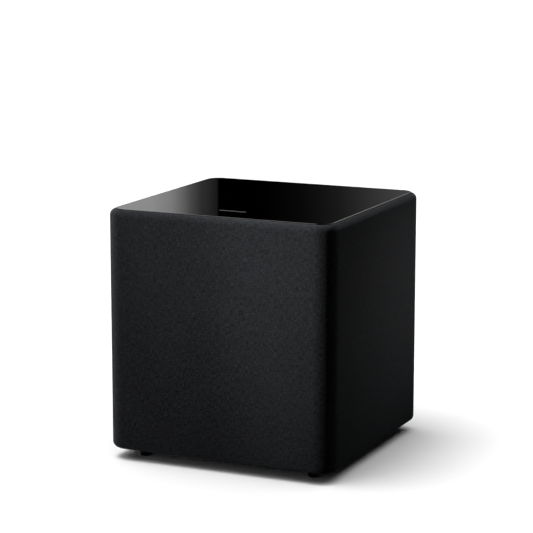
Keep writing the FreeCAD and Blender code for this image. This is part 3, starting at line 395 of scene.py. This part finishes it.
def make_marks():
    """Plain scales round the knobs, dots above the switches and frames round the sockets; no lettering."""
    verts, faces = [], []

    def block(corners):
        base = len(verts)
        for y in (AMP_HI.y, AMP_HI.y + INK_THICK):
            verts.extend((x, y, z) for x, z in corners)
        n = len(corners)
        faces.append(tuple(range(base, base + n)))
        faces.append(tuple(range(base + n, base + 2 * n))[::-1])
        for k in range(n):
            a, b = base + k, base + (k + 1) % n
            faces.append((b, a, a + n, b + n))

    def bar(x, z, width, height, turn=0.0):
        c, s = math.cos(turn), math.sin(turn)
        corners = []
        for i, j in ((-1, -1), (1, -1), (1, 1), (-1, 1)):
            across, up = (i * c * width - j * s * height) / 2, (i * s * width + j * c * height) / 2
            corners.append((x + across, z + up))
        block(corners)

    def dot(x, z, radius):
        angles = spread(0, 2 * math.pi, 16)
        block([(x + radius * math.cos(angle), z + radius * math.sin(angle)) for angle in angles])

    def frame_round(x0, x1, z0, z1):
        line = 0.35 * MM
        for z in (z0, z1):
            bar((x0 + x1) / 2, z, x1 - x0 + line, line)
        for x in (x0, x1):
            bar(x, (z0 + z1) / 2, line, z1 - z0 - line)

    long_tick, short_tick, tick_width, scale_radius = 3.2 * MM, 2.0 * MM, 0.5 * MM, 15.4 * MM
    for knob in ("volume_knob", "crossover_knob"):
        x, z = middle_of(knob)
        for k in range(-5, 6):
            angle = math.radians(90 + 30 * k)
            size = long_tick if k in (-5, 0, 5) else short_tick
            reach = scale_radius + size / 2
            bar(x + reach * math.cos(angle), z + reach * math.sin(angle), size, tick_width, angle)
    dot_radius, dot_height = 0.55 * MM, 5.6 * MM
    for slider, reach, count in (("eq_slider", 2.5, 3), ("phase_slider", 1.5, 2), ("mode_slider", 1.5, 2)):
        x, z = middle_of(slider)
        if count == 2:
            x += reach * MM
        for k in range(count):
            dot(x + (2 * k / (count - 1) - 1) * reach * MM, z + dot_height, dot_radius)
    margins = {"line_in_jacks": 7 * MM, "speaker_input_socket": 4 * MM, "expansion_port": 4 * MM}
    for node, margin in margins.items():
        lo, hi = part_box(node)
        frame_round(lo.x - margin, hi.x + margin, lo.z - margin, hi.z + margin)
    margin = 11 * MM
    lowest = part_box("eq_slider")[0].z
    lo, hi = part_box("crossover_knob")[0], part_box("volume_knob")[1]
    frame_round(lo.x - margin, hi.x + margin, lowest - margin, hi.z + margin)
    obj = mesh_object("plate_marks", verts, faces, smooth=False)
    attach(obj, "cabinet")
    obj.data.materials.append(finish_for("printing_ink"))


# ---- Material helpers ----------------------------------------------------------------------------
class Shader:
    """A material with a Principled shader, and short ways to add nodes to it."""

    def __init__(self, name, color, roughness, metallic=0.0):
        self.material = bpy.data.materials.new(name)
        self.material.use_nodes = True
        self.tree = self.material.node_tree
        self.bsdf = self.tree.nodes["Principled BSDF"]
        self.set("Base Color", (*color, 1))
        self.set("Roughness", roughness)
        self.set("Metallic", metallic)
        self.color = color

    def set(self, socket, value):
        self.bsdf.inputs[socket].default_value = value

    def node(self, kind, links=(), **settings):
        """Adds a node. links sets its inputs, each to a value or an output; settings are its attributes."""
        made = self.tree.nodes.new(kind)
        for key, value in settings.items():
            setattr(made, key, value)
        for socket, source in dict(links).items():
            if isinstance(source, (int, float, tuple)):
                made.inputs[socket].default_value = source
            else:
                self.tree.links.new(source, made.inputs[socket])
        return made

    def link(self, source, socket):
        self.tree.links.new(source, self.bsdf.inputs[socket])

    def place(self, uv=False):
        made = self.node("ShaderNodeTexCoord")
        return made.outputs["UV" if uv else "Object"]

    def scaled(self, source, x, y, z=1.0):
        return self.node("ShaderNodeMapping", {"Vector": source, "Scale": (x, y, z)}).outputs["Vector"]

    def noise(self, source, scale, detail=3.0, roughness=0.55):
        links = {"Vector": source, "Scale": scale, "Detail": detail, "Roughness": roughness}
        return self.node("ShaderNodeTexNoise", links).outputs["Fac"]

    def math(self, operation, a, b=0.0, c=0.0):
        return self.node("ShaderNodeMath", {0: a, 1: b, 2: c}, operation=operation).outputs[0]

    def ramp(self, source, low, high, from_low=0.0, from_high=1.0):
        links = {"Value": source, "From Min": from_low, "From Max": from_high, "To Min": low, "To Max": high}
        return self.node("ShaderNodeMapRange", links).outputs["Result"]

    def shade(self, factor, dark=0.8, light=1.2):
        """The base colour, darker and lighter with a 0 to 1 factor."""
        def times(k):
            return tuple(min(1.0, c * k) for c in self.color) + (1.0,)

        mix = self.node("ShaderNodeMix", {"Factor": factor}, data_type="RGBA")
        mix.inputs["A"].default_value = times(dark)
        mix.inputs["B"].default_value = times(light)
        self.link(mix.outputs["Result"], "Base Color")

    def bump(self, height, strength, distance):
        links = {"Height": height, "Strength": strength, "Distance": distance}
        self.link(self.node("ShaderNodeBump", links).outputs["Normal"], "Normal")


def cloth_material():
    """Fine black cloth with a plain weave, uneven threads and a little sheen."""
    s = Shader("black_cloth", (0.0115, 0.0122, 0.0135), 0.9)
    uv = s.place(uv=True)
    split = s.node("ShaderNodeSeparateXYZ", {"Vector": uv})
    pitch = 0.9 * MM
    warp = s.math("SINE", s.math("MULTIPLY", split.outputs["X"], 2 * math.pi / pitch))
    weft = s.math("SINE", s.math("MULTIPLY", split.outputs["Y"], 2 * math.pi / pitch))
    weave = s.ramp(s.math("MULTIPLY", warp, weft), 0, 1, -1, 1)
    across = s.noise(s.scaled(uv, 120, 780), 1.0, 2.0, 0.6)
    upright = s.noise(s.scaled(uv, 640, 130), 1.0, 2.0, 0.6)
    cloud = s.noise(uv, 18.0, 2.0)
    threads = s.math("ADD", s.math("MULTIPLY", across, 0.5), s.math("MULTIPLY", upright, 0.5))
    slubs = s.ramp(threads, 0, 1, 0.36, 0.64)
    tone = s.math("ADD", s.math("MULTIPLY", slubs, 0.82), s.math("MULTIPLY", cloud, 0.18))
    straight_x, straight_y = BODY_WIDTH - 2 * CORNER_RADIUS, CLOTH_HI.y - CLOTH_LO.y - 2 * CORNER_RADIUS
    seam_at = 1.5 * straight_x + straight_y + math.pi * CORNER_RADIUS
    seam = s.math("COMPARE", split.outputs["X"], seam_at, 0.6 * MM)
    s.shade(s.math("MULTIPLY", tone, s.ramp(seam, 1, 0.35)), 0.15, 1.85)
    threads_up = s.math("ADD", s.math("MULTIPLY", weave, 0.5), s.math("MULTIPLY", slubs, 0.9))
    height = s.math("SUBTRACT", threads_up, s.math("MULTIPLY", seam, 1.5))
    s.bump(height, 0.6, 0.5 * MM)
    s.set("Specular IOR Level", 0.05)
    s.set("Sheen Weight", 0.05)
    s.set("Sheen Roughness", 0.45)
    s.set("Sheen Tint", (0.80, 0.88, 1.0, 1))
    return s.material


def gloss_material():
    """Polished black sheet with a faint waviness and a trace of dust."""
    s = Shader("gloss_black", (0.0015, 0.0015, 0.0017), 0.01)
    p = s.place()
    dust = s.noise(p, 900.0, 2.0, 0.7)
    s.link(s.ramp(dust, 0.006, 0.014, 0.45, 0.75), "Roughness")
    s.shade(s.noise(p, 30.0), 0.8, 1.2)
    s.bump(s.noise(p, 9.0, 1.0), 0.02, 0.2 * MM)
    return s.material


def moulded(name, color, roughness=0.55, grain=1800.0, depth=0.08, coarse=60.0):
    """Moulded plastic or rubber with a fine spark-eroded grain."""
    s = Shader(name, color, roughness)
    p = s.place()
    fine, wide = s.noise(p, grain, 3.0, 0.6), s.noise(p, coarse, 3.0)
    s.shade(s.math("MULTIPLY", s.math("ADD", fine, wide), 0.5), 0.75, 1.25)
    s.link(s.ramp(wide, roughness - 0.06, roughness + 0.08, 0.3, 0.7), "Roughness")
    s.bump(fine, 0.5, depth * MM)
    return s


def metal(name, color, roughness, brush=(1, 1, 1), grain=700.0, depth=0.02):
    """Metal with fine lines along the axis that brush leaves small, or a plain cast grain."""
    s = Shader(name, color, roughness, 1.0)
    p = s.place()
    lines = s.noise(s.scaled(p, *brush), grain, 2.0, 0.7)
    wide = s.noise(p, 40.0)
    s.shade(s.math("MULTIPLY", s.math("ADD", lines, wide), 0.5), 0.8, 1.2)
    s.link(s.ramp(lines, roughness - 0.07, roughness + 0.1, 0.25, 0.75), "Roughness")
    s.bump(lines, 0.4, depth * MM)
    return s


def fibre_board(name, color):
    """Pressed board: pale and dark fibres, with the finer ones lying flat."""
    s = Shader(name, color, 0.82)
    p = s.place()
    fibres, flecks = s.noise(s.scaled(p, 500, 500, 1600), 1.0, 4.0, 0.7), s.noise(p, 420.0, 2.0, 0.7)
    s.shade(s.ramp(s.math("ADD", fibres, flecks), 0, 1, 0.7, 1.3), 0.62, 1.35)
    s.bump(fibres, 0.5, 0.12 * MM)
    return s


def stuffing(name, color):
    """Loose white polyester fibres in a felted pad."""
    s = Shader(name, color, 0.95)
    p = s.place()
    strands = [s.noise(s.scaled(p, *scale), 1.0, 3.0, 0.7) for scale in ((300, 90, 900), (300, 900, 90))]
    felt = s.math("MULTIPLY", s.math("ADD", *strands), 0.5)
    s.shade(s.ramp(felt, 0, 1, 0.35, 0.65), 0.72, 1.12)
    s.bump(felt, 0.9, 1.2 * MM)
    s.set("Sheen Weight", 0.3)
    return s


def foam(name, color):
    """Closed-cell foam, with painted shade in the hollow of each cell."""
    s = Shader(name, color, 0.9)
    cells = s.node("ShaderNodeTexVoronoi", {"Vector": s.place(), "Scale": 1600.0}).outputs["Distance"]
    # painted shade: the colour darkens towards each cell's sunken middle, where the bump sinks
    s.shade(cells, 0.6, 1.5)
    s.bump(cells, 0.6, 0.15 * MM)
    return s


def pulp(name, color):
    """Pressed paper pulp with long fibres."""
    s = Shader(name, color, 0.75)
    p = s.place()
    fibres = [s.noise(s.scaled(p, *scale), 1.0, 3.0, 0.7) for scale in ((150, 600, 800), (800, 600, 150))]
    mat = s.math("MULTIPLY", s.math("ADD", *fibres), 0.5)
    s.shade(s.ramp(mat, 0, 1, 0.38, 0.62), 0.5, 1.6)
    s.bump(mat, 0.7, 0.25 * MM)
    return s


def woven(name, color):
    """Resin-stiffened open cloth, seen along the driver's axis, with painted shade between the threads and an
    uneven resin tint.
    """
    s = Shader(name, color, 0.7)
    split = s.node("ShaderNodeSeparateXYZ", {"Vector": s.place()})
    turn = 2 * math.pi / (0.9 * MM)
    waves = [s.math("SINE", s.math("MULTIPLY", split.outputs[axis], turn)) for axis in ("X", "Z")]
    cloth_weave = s.ramp(s.math("MULTIPLY", *waves), 0, 1, -1, 1)
    resin = s.noise(s.place(), 60.0)
    # painted shade between the threads from the weave's height, plus an uneven resin tint from the noise
    s.shade(s.math("MULTIPLY", s.math("ADD", cloth_weave, resin), 0.5), 0.5, 1.35)
    s.bump(cloth_weave, 0.6, 0.2 * MM)
    return s


def wound(name, color, pitch, axis="Y"):
    """Enamelled wire in close turns along an axis, with painted shade in the grooves between the turns."""
    s = Shader(name, color, 0.3, 1.0)
    split = s.node("ShaderNodeSeparateXYZ", {"Vector": s.place()})
    turns = s.math("SINE", s.math("MULTIPLY", split.outputs[axis], 2 * math.pi / pitch))
    height = s.ramp(turns, 0, 1, -1, 1)
    # painted shade: the colour follows the turns' height, darker in the grooves between them
    s.shade(s.math("MULTIPLY", s.math("ADD", height, s.noise(s.place(), 90.0)), 0.5), 0.45, 1.3)
    s.bump(height, 0.8, 0.15 * MM)
    return s


def braid(name, color):
    """Fine copper braid: two sets of strands that cross, with painted shade between the strands."""
    s = Shader(name, color, 0.35, 1.0)
    split = s.node("ShaderNodeSeparateXYZ", {"Vector": s.place()})
    slant = [s.math(kind, split.outputs["X"], split.outputs["Z"]) for kind in ("ADD", "SUBTRACT")]
    waves = [s.math("SINE", s.math("MULTIPLY", value, 2 * math.pi / (0.5 * MM))) for value in slant]
    strands = s.ramp(s.math("MAXIMUM", *waves), 0, 1, -1, 1)
    # painted shade: the colour follows the strands' height, darker in the gaps between them
    s.shade(strands, 0.35, 1.3)
    s.bump(strands, 0.8, 0.15 * MM)
    return s


def board_with_tracks(name, color):
    """A circuit board: solder mask over copper tracks that run both ways."""
    s = Shader(name, color, 0.35)
    p = s.place()
    flat = s.node("ShaderNodeMapping", {"Vector": p, "Rotation": (math.radians(90), 0, 0)}).outputs["Vector"]
    settings = {"Vector": flat, "Scale": 60.0, "Mortar Size": 0.03, "Brick Width": 0.9, "Row Height": 0.22}
    tracks = s.node("ShaderNodeTexBrick", settings).outputs["Fac"]
    s.shade(s.math("MULTIPLY", s.math("ADD", tracks, s.noise(p, 120.0)), 0.6), 0.7, 1.7)
    s.bump(tracks, 0.5, 0.06 * MM)
    return s


def paired_plastic(name, color):
    """Glossy moulding, white at the left-hand jack and red at the right-hand one, seen from behind."""
    red, white = (0.55, 0.02, 0.02, 1), (0.78, 0.77, 0.73, 1)
    s = Shader(name, color, 0.28)
    p = s.place()
    split = s.node("ShaderNodeSeparateXYZ", {"Vector": p})
    left = s.math("GREATER_THAN", split.outputs["X"], middle_of("line_in_jacks")[0])
    mix = s.node("ShaderNodeMix", {"Factor": left}, data_type="RGBA")
    mix.inputs["A"].default_value = red
    mix.inputs["B"].default_value = white
    s.link(mix.outputs["Result"], "Base Color")
    s.link(s.ramp(s.noise(p, 300.0), 0.22, 0.36, 0.3, 0.7), "Roughness")
    s.bump(s.noise(p, 1500.0), 0.2, 0.03 * MM)
    return s


def lens(name, color):
    """A milky clear lens."""
    s = moulded(name, color, 0.18, 500.0, 0.01)
    s.set("Transmission Weight", 0.5)
    return s


def sleeve(name, color):
    """Shiny shrink sleeve with a pale stripe down one side."""
    apart, share, pale = 24 * MM, 0.12, (0.45, 0.46, 0.5, 1)
    s = Shader(name, color, 0.25)
    p = s.place()
    split = s.node("ShaderNodeSeparateXYZ", {"Vector": p})
    ring = s.math("FRACT", s.math("MULTIPLY", split.outputs["X"], 1 / apart))
    stripe = s.math("LESS_THAN", ring, share)
    mix = s.node("ShaderNodeMix", {"Factor": stripe}, data_type="RGBA")
    mix.inputs["A"].default_value = (*color, 1)
    mix.inputs["B"].default_value = pale
    s.link(mix.outputs["Result"], "Base Color")
    s.link(s.ramp(s.noise(p, 200.0), 0.2, 0.34, 0.3, 0.7), "Roughness")
    s.bump(s.noise(p, 400.0), 0.25, 0.05 * MM)
    return s


RECIPES = {
    "cabinet_board": fibre_board,
    "badge_metal": lambda name, color: metal(name, (0.10, 0.10, 0.105), 0.42, (0.05, 1, 1), 2500.0, 0.01),
    "black_moulding": lambda name, color: moulded(name, color, 0.5, 1500.0, 0.06),
    "rubber_black": lambda name, color: moulded(name, (0.006, 0.006, 0.0062), 0.72, 900.0, 0.05),
    "screw_steel": lambda name, color: metal(name, color, 0.42, grain=1800.0),
    "insert_brass": lambda name, color: metal(name, color, 0.3, grain=900.0),
    "wadding": stuffing,
    "cast_frame": lambda name, color: moulded(name, color, 0.62, 1100.0, 0.2),
    "gasket_foam": foam,
    "cone_paper": pulp,
    "cap_metal": lambda name, color: metal(name, color, 0.38, (1, 1, 0.05), 1800.0, 0.01),
    "former_metal": lambda name, color: metal(name, color, 0.33, (1, 0.05, 1), 2200.0, 0.02),
    "copper_wire": lambda name, color: wound(name, color, 0.5 * MM),
    "tinsel_braid": lambda name, color: braid(name, (0.6, 0.3, 0.14)),
    "spider_cloth": woven,
    "plated_steel": lambda name, color: metal(name, color, 0.34, grain=260.0, depth=0.03),
    "ferrite": lambda name, color: moulded(name, color, 0.48, 2600.0, 0.03, 140.0),
    "lead_insulation": lambda name, color: moulded(name, color, 0.4, 600.0, 0.03),
    "panel_black": lambda name, color: moulded(name, color, 0.56, 1300.0, 0.12),
    "circuit_board": board_with_tracks,
    "bare_aluminium": lambda name, color: metal(name, color, 0.32, (0.04, 1, 1), 2400.0, 0.03),
    "can_sleeve": sleeve,
    "knob_black": lambda name, color: moulded(name, color, 0.6, 1900.0, 0.05),
    "switch_nub": lambda name, color: moulded(name, color, 0.35, 1700.0, 0.03),
    "contact_nickel": lambda name, color: metal(name, color, 0.18, grain=800.0, depth=0.01),
    "jack_moulding": paired_plastic,
    "header_green": lambda name, color: moulded(name, color, 0.42, 1600.0, 0.04),
    "led_lens": lens,
    "printing_ink": lambda name, color: moulded(name, (0.55, 0.55, 0.54), 0.6, 1500.0, 0.01),
}
MATERIALS = {"black_cloth": cloth_material(), "gloss_black": gloss_material()}


def slot_of(node):
    """The record's material slot for a node."""
    return next(part["material_slot"] for part in frame["record"]["subparts"] if part["node"] == node)


def finish_for(name):
    """The material of one of the record's slots, or of one of the two finishes that only this script has."""
    if name not in MATERIALS:
        colors = {entry["slot"]: tuple(entry["base_color"][:3]) for entry in frame["record"]["materials"]}
        MATERIALS[name] = RECIPES[name](name, colors.get(name, (0.5, 0.5, 0.5))).material
    return MATERIALS[name]


# ---- Light, floor and camera ---------------------------------------------------------------------
CAMERA_PITCH, CAMERA_YAW = 79.07, 24.483  # degrees
LENS, SENSOR_WIDTH, FAR_CLIP = 141.4, 36.0, 200.0
BACKDROP_RADIUS, BACKDROP_HEIGHT = 24.0, 40.0
CARD_RADIUS, CARD_FOOT, CARD_TOP, RIM_TOP = 7.0, 0.35, 2.1, 4.2
AMBIENT = 0.018
BEAMS_FROM = (-1.66, -1.82, 1.35)


def aim(obj, target):
    direction = Vector(target) - obj.location
    obj.rotation_euler = direction.to_track_quat("-Z", "Y").to_euler()


def add_light(name, kind, place, target, power, receivers):
    """A light that the camera doesn't see and that lights only its receivers."""
    data = bpy.data.lights.new(name, kind)
    data.energy = power
    light = bpy.data.objects.new(name, data)
    bpy.context.scene.collection.objects.link(light)
    light.location = place
    aim(light, target)
    light.visible_camera = False
    light.light_linking.receiver_collection = receivers
    return light


def area_light(name, place, target, size, power, receivers, fan=180.0):
    light = add_light(name, "AREA", place, target, power, receivers)
    light.data.shape = "RECTANGLE"
    light.data.size, light.data.size_y = size
    light.data.spread = math.radians(fan)


def sun_light(name, place, strength, angle, receivers):
    light = add_light(name, "SUN", place, (0, 0, 0), strength, receivers)
    light.data.angle = math.radians(angle)


def spot_light(name, place, target, cone, squeeze, radius, power, receivers):
    """A soft-edged spot whose beam is squeezed in width."""
    light = add_light(name, "SPOT", place, target, power, receivers)
    light.data.spot_size = math.radians(cone)
    light.data.spot_blend = 1.0
    light.data.shadow_soft_size = radius
    light.scale = (squeeze, 1, 1)


def make_floor():
    half = 40.0
    corners = [(-half, -half, 0), (half, -half, 0), (half, half, 0), (-half, half, 0)]
    floor = mesh_object("floor", corners, [(0, 1, 2, 3)])
    s = Shader("floor_paper", (0.8, 0.8, 0.8), 0.9)
    s.set("Specular IOR Level", 0.0)
    floor.data.materials.append(s.material)
    floor.visible_diffuse = False
    floor.visible_glossy = False
    return floor


def drum(name, radius, z0, z1, start=0.0, end=360.0):
    """An upright wall round the set between two bearings, clockwise from +Y; u runs from 0 to 1 along it."""
    turns = math.ceil(end - start)
    verts, uvs = [], []
    for z in (z0, z1):
        for i in range(turns + 1):
            bearing = math.radians(start + (end - start) * i / turns)
            verts.append((radius * math.sin(bearing), radius * math.cos(bearing) + BODY_CENTRE_Y, z))
            uvs.append((i / turns, (z - z0) / (z1 - z0)))
    faces = [(i, i + 1, turns + 2 + i, turns + 1 + i) for i in range(turns)]
    return mesh_object(name, verts, faces, uvs)


def glow(name, strength):
    """A material that only shines."""
    material = bpy.data.materials.new(name)
    material.use_nodes = True
    tree = material.node_tree
    tree.nodes.clear()
    emission = tree.nodes.new("ShaderNodeEmission")
    emission.inputs["Strength"].default_value = strength
    output = tree.nodes.new("ShaderNodeOutputMaterial")
    tree.links.new(emission.outputs[0], output.inputs["Surface"])
    return material


def card_wall(name, z0, z1, strength, stops):
    """A wall that only reflections see, whose brightness runs through (bearing, level) stops."""
    start, end = stops[0][0], stops[-1][0]
    wall = drum(name, CARD_RADIUS, z0, z1, start, end)
    material = glow(name, strength)
    tree = material.node_tree
    emission = next(n for n in tree.nodes if n.type == "EMISSION")
    uv = tree.nodes.new("ShaderNodeUVMap")
    split = tree.nodes.new("ShaderNodeSeparateXYZ")
    ramp = tree.nodes.new("ShaderNodeValToRGB")
    tree.links.new(uv.outputs["UV"], split.inputs["Vector"])
    tree.links.new(split.outputs["X"], ramp.inputs["Fac"])
    tree.links.new(ramp.outputs["Color"], emission.inputs["Color"])
    made = ramp.color_ramp.elements
    made.remove(made[1])
    for i, (bearing, level) in enumerate(stops):
        stop = made.new((bearing - start) / (end - start)) if i else made[0]
        stop.color = (level, level, level, 1)
    wall.data.materials.append(material)
    only_seen_by(wall, glossy=True)


def only_seen_by(obj, camera=False, glossy=False):
    obj.visible_camera = camera
    obj.visible_glossy = glossy
    obj.visible_diffuse = False
    obj.visible_transmission = False
    obj.visible_volume_scatter = False
    obj.visible_shadow = False


def make_backdrop():
    """A white wall far behind the set, which only the camera sees."""
    wall = drum("backdrop", BACKDROP_RADIUS, -0.01, BACKDROP_HEIGHT)
    wall.data.materials.append(glow("backdrop_paper", 1.0))
    only_seen_by(wall, camera=True)


def make_cards():
    """Cards round and over the set, dark and light, which only reflections see."""
    middle = -CAMERA_YAW
    behind = ((-6, 0.64), (-4.7, 0.61), (-3.9, 0.46), (-3.5, 0.30), (-3.1, 0.145), (-2.7, 0.065),
              (-2.02, 0.021), (-1.97, 0.0), (-0.2, 0.0), (1.4, 0.006), (2.2, 0.013), (3.0, 0.024),
              (3.8, 0.048), (4.6, 0.08), (6, 0.14))
    behind = [(middle + bearing, level) for bearing, level in behind]
    card_wall("mirror_card", CARD_FOOT, CARD_TOP, 1.0, behind)
    rest = ((6, 0.14), (14, 0.2), (30, 0.1), (50, 0.02), (95, 0.02), (135, 0.3), (175, 0.04), (205, 0.0),
            (255, 0.0), (290, 0.3), (325, 0.1), (354, 0.64))
    rest = [(middle + bearing, level) for bearing, level in rest]
    card_wall("far_cards", CARD_FOOT, CARD_TOP, 1.0, rest)
    high = ((0, 1.0), (25, 0.6), (45, 0.1), (200, 0.05), (300, 0.1), (335, 0.6), (360, 1.0))
    card_wall("rim_cards", CARD_TOP, RIM_TOP, 1.6, high)
    x0, x1, y0, y1, height = -2.3, -0.7, -2.5, 1.5, 3.6
    corners = [(x, y, height) for x in (x0, x1) for y in (y0, y1)]
    ceiling = mesh_object("mirror_ceiling", corners, [(0, 1, 3, 2)])
    ceiling.data.materials.append(glow("mirror_ceiling", 4.0))
    only_seen_by(ceiling, glossy=True)


def make_camera():
    """The view from the front right, a little above."""
    data = bpy.data.cameras.new("camera")
    camera = bpy.data.objects.new("camera", data)
    bpy.context.scene.collection.objects.link(camera)
    data.sensor_width = SENSOR_WIDTH
    data.lens = LENS
    data.clip_end = FAR_CLIP
    right, away, height = 3.5522, 7.8032, 2.3717  # in widths of the body, from the middle of its underside
    camera.location = (
        right * BODY_WIDTH,
        BODY_CENTRE_Y - away * BODY_WIDTH,
        CLOTH_LO.z + height * BODY_WIDTH,
    )
    camera.rotation_euler = (math.radians(CAMERA_PITCH), 0, math.radians(CAMERA_YAW))
    bpy.context.scene.camera = camera


def make_world(level):
    """An even, faint light from all round."""
    world = bpy.data.worlds.new("studio")
    world.use_nodes = True
    world.node_tree.nodes["Background"].inputs["Color"].default_value = (level, level, level, 1)
    bpy.context.scene.world = world


def linked(name, state, objects):
    """A light-linking collection that lights only these objects, or everything but them."""
    group = bpy.data.collections.new(name)
    for i, obj in enumerate(objects):
        group.objects.link(obj)
        group.collection_objects[i].light_linking.link_state = state
    return group


def light_set(floor, cloth):
    """Lights for the floor, which cast its shadow, and lights for the object."""
    only_floor = linked("only_the_floor", "INCLUDE", [floor])
    gloss = [frame["nodes"][name] for name in ("top_plate", "badge_bar")]
    others = linked("all_but_floor_and_top", "EXCLUDE", [floor] + gloss)
    only_cloth = linked("only_the_cloth", "INCLUDE", [cloth])
    sun_light("floor_fill", (-0.12, 0, 1), 3.0, 98, only_floor)
    sun_light("floor_key", (-0.5, -0.3, 2.0), 1.7, 30, only_floor)
    sun_light("floor_low", (-0.35, -1.0, 0.35), 0.35, 36, only_floor)
    spot_light("front_beam", BEAMS_FROM, (0.04, -0.2, 0.67), 30, 0.48, 0.05, 440, others)
    spot_light("edge_beam", BEAMS_FROM, (0.12, -0.2, 0.65), 34, 0.15, 0.02, 310, others)
    spot_light("side_beam", (0.5, 0.8, 0.27), (0.1735, 0.1, 0.24), 37, 0.54, 0.04, 9, others)
    area_light("right_fill", (1.6, 1.2, 0.6), (0.2, 0.1, 0.2), (0.8, 0.8), 6, others)
    area_light("floor_bounce", (-0.6, -0.7, 0.04), (-0.18, -0.2, 0.06), (0.4, 0.2), 2.2, only_cloth, 120)
    area_light("overhead", (0.1, -0.16, 1.4), (0.1, -0.16, 0.4), (0.34, 0.34), 11, only_cloth)
    area_light("left_fill", (-2.2, 0.4, 0.9), (-0.2, 0, 0.2), (1.0, 1.0), 9, others, 60)
    area_light("back_fill", (-0.9, 2.4, 1.0), (0, 0.18, 0.2), (1.2, 1.2), 55, others)


# ---- Put it together -----------------------------------------------------------------------------
make_camera()
cloth = make_cloth()
cloth.data.materials.append(finish_for("black_cloth"))
make_surround()
make_spider()
make_tinsel()
make_wadding()
make_marks()
make_pointers()
for part in frame["record"]["subparts"]:
    node = frame["nodes"][part["node"]]
    for material_slot in node.material_slots:
        material_slot.material = finish_for(part["material_slot"])

floor = make_floor()
make_backdrop()
make_cards()
make_world(AMBIENT)
light_set(floor, cloth)
bpy.context.scene.view_settings.view_transform = "Standard"
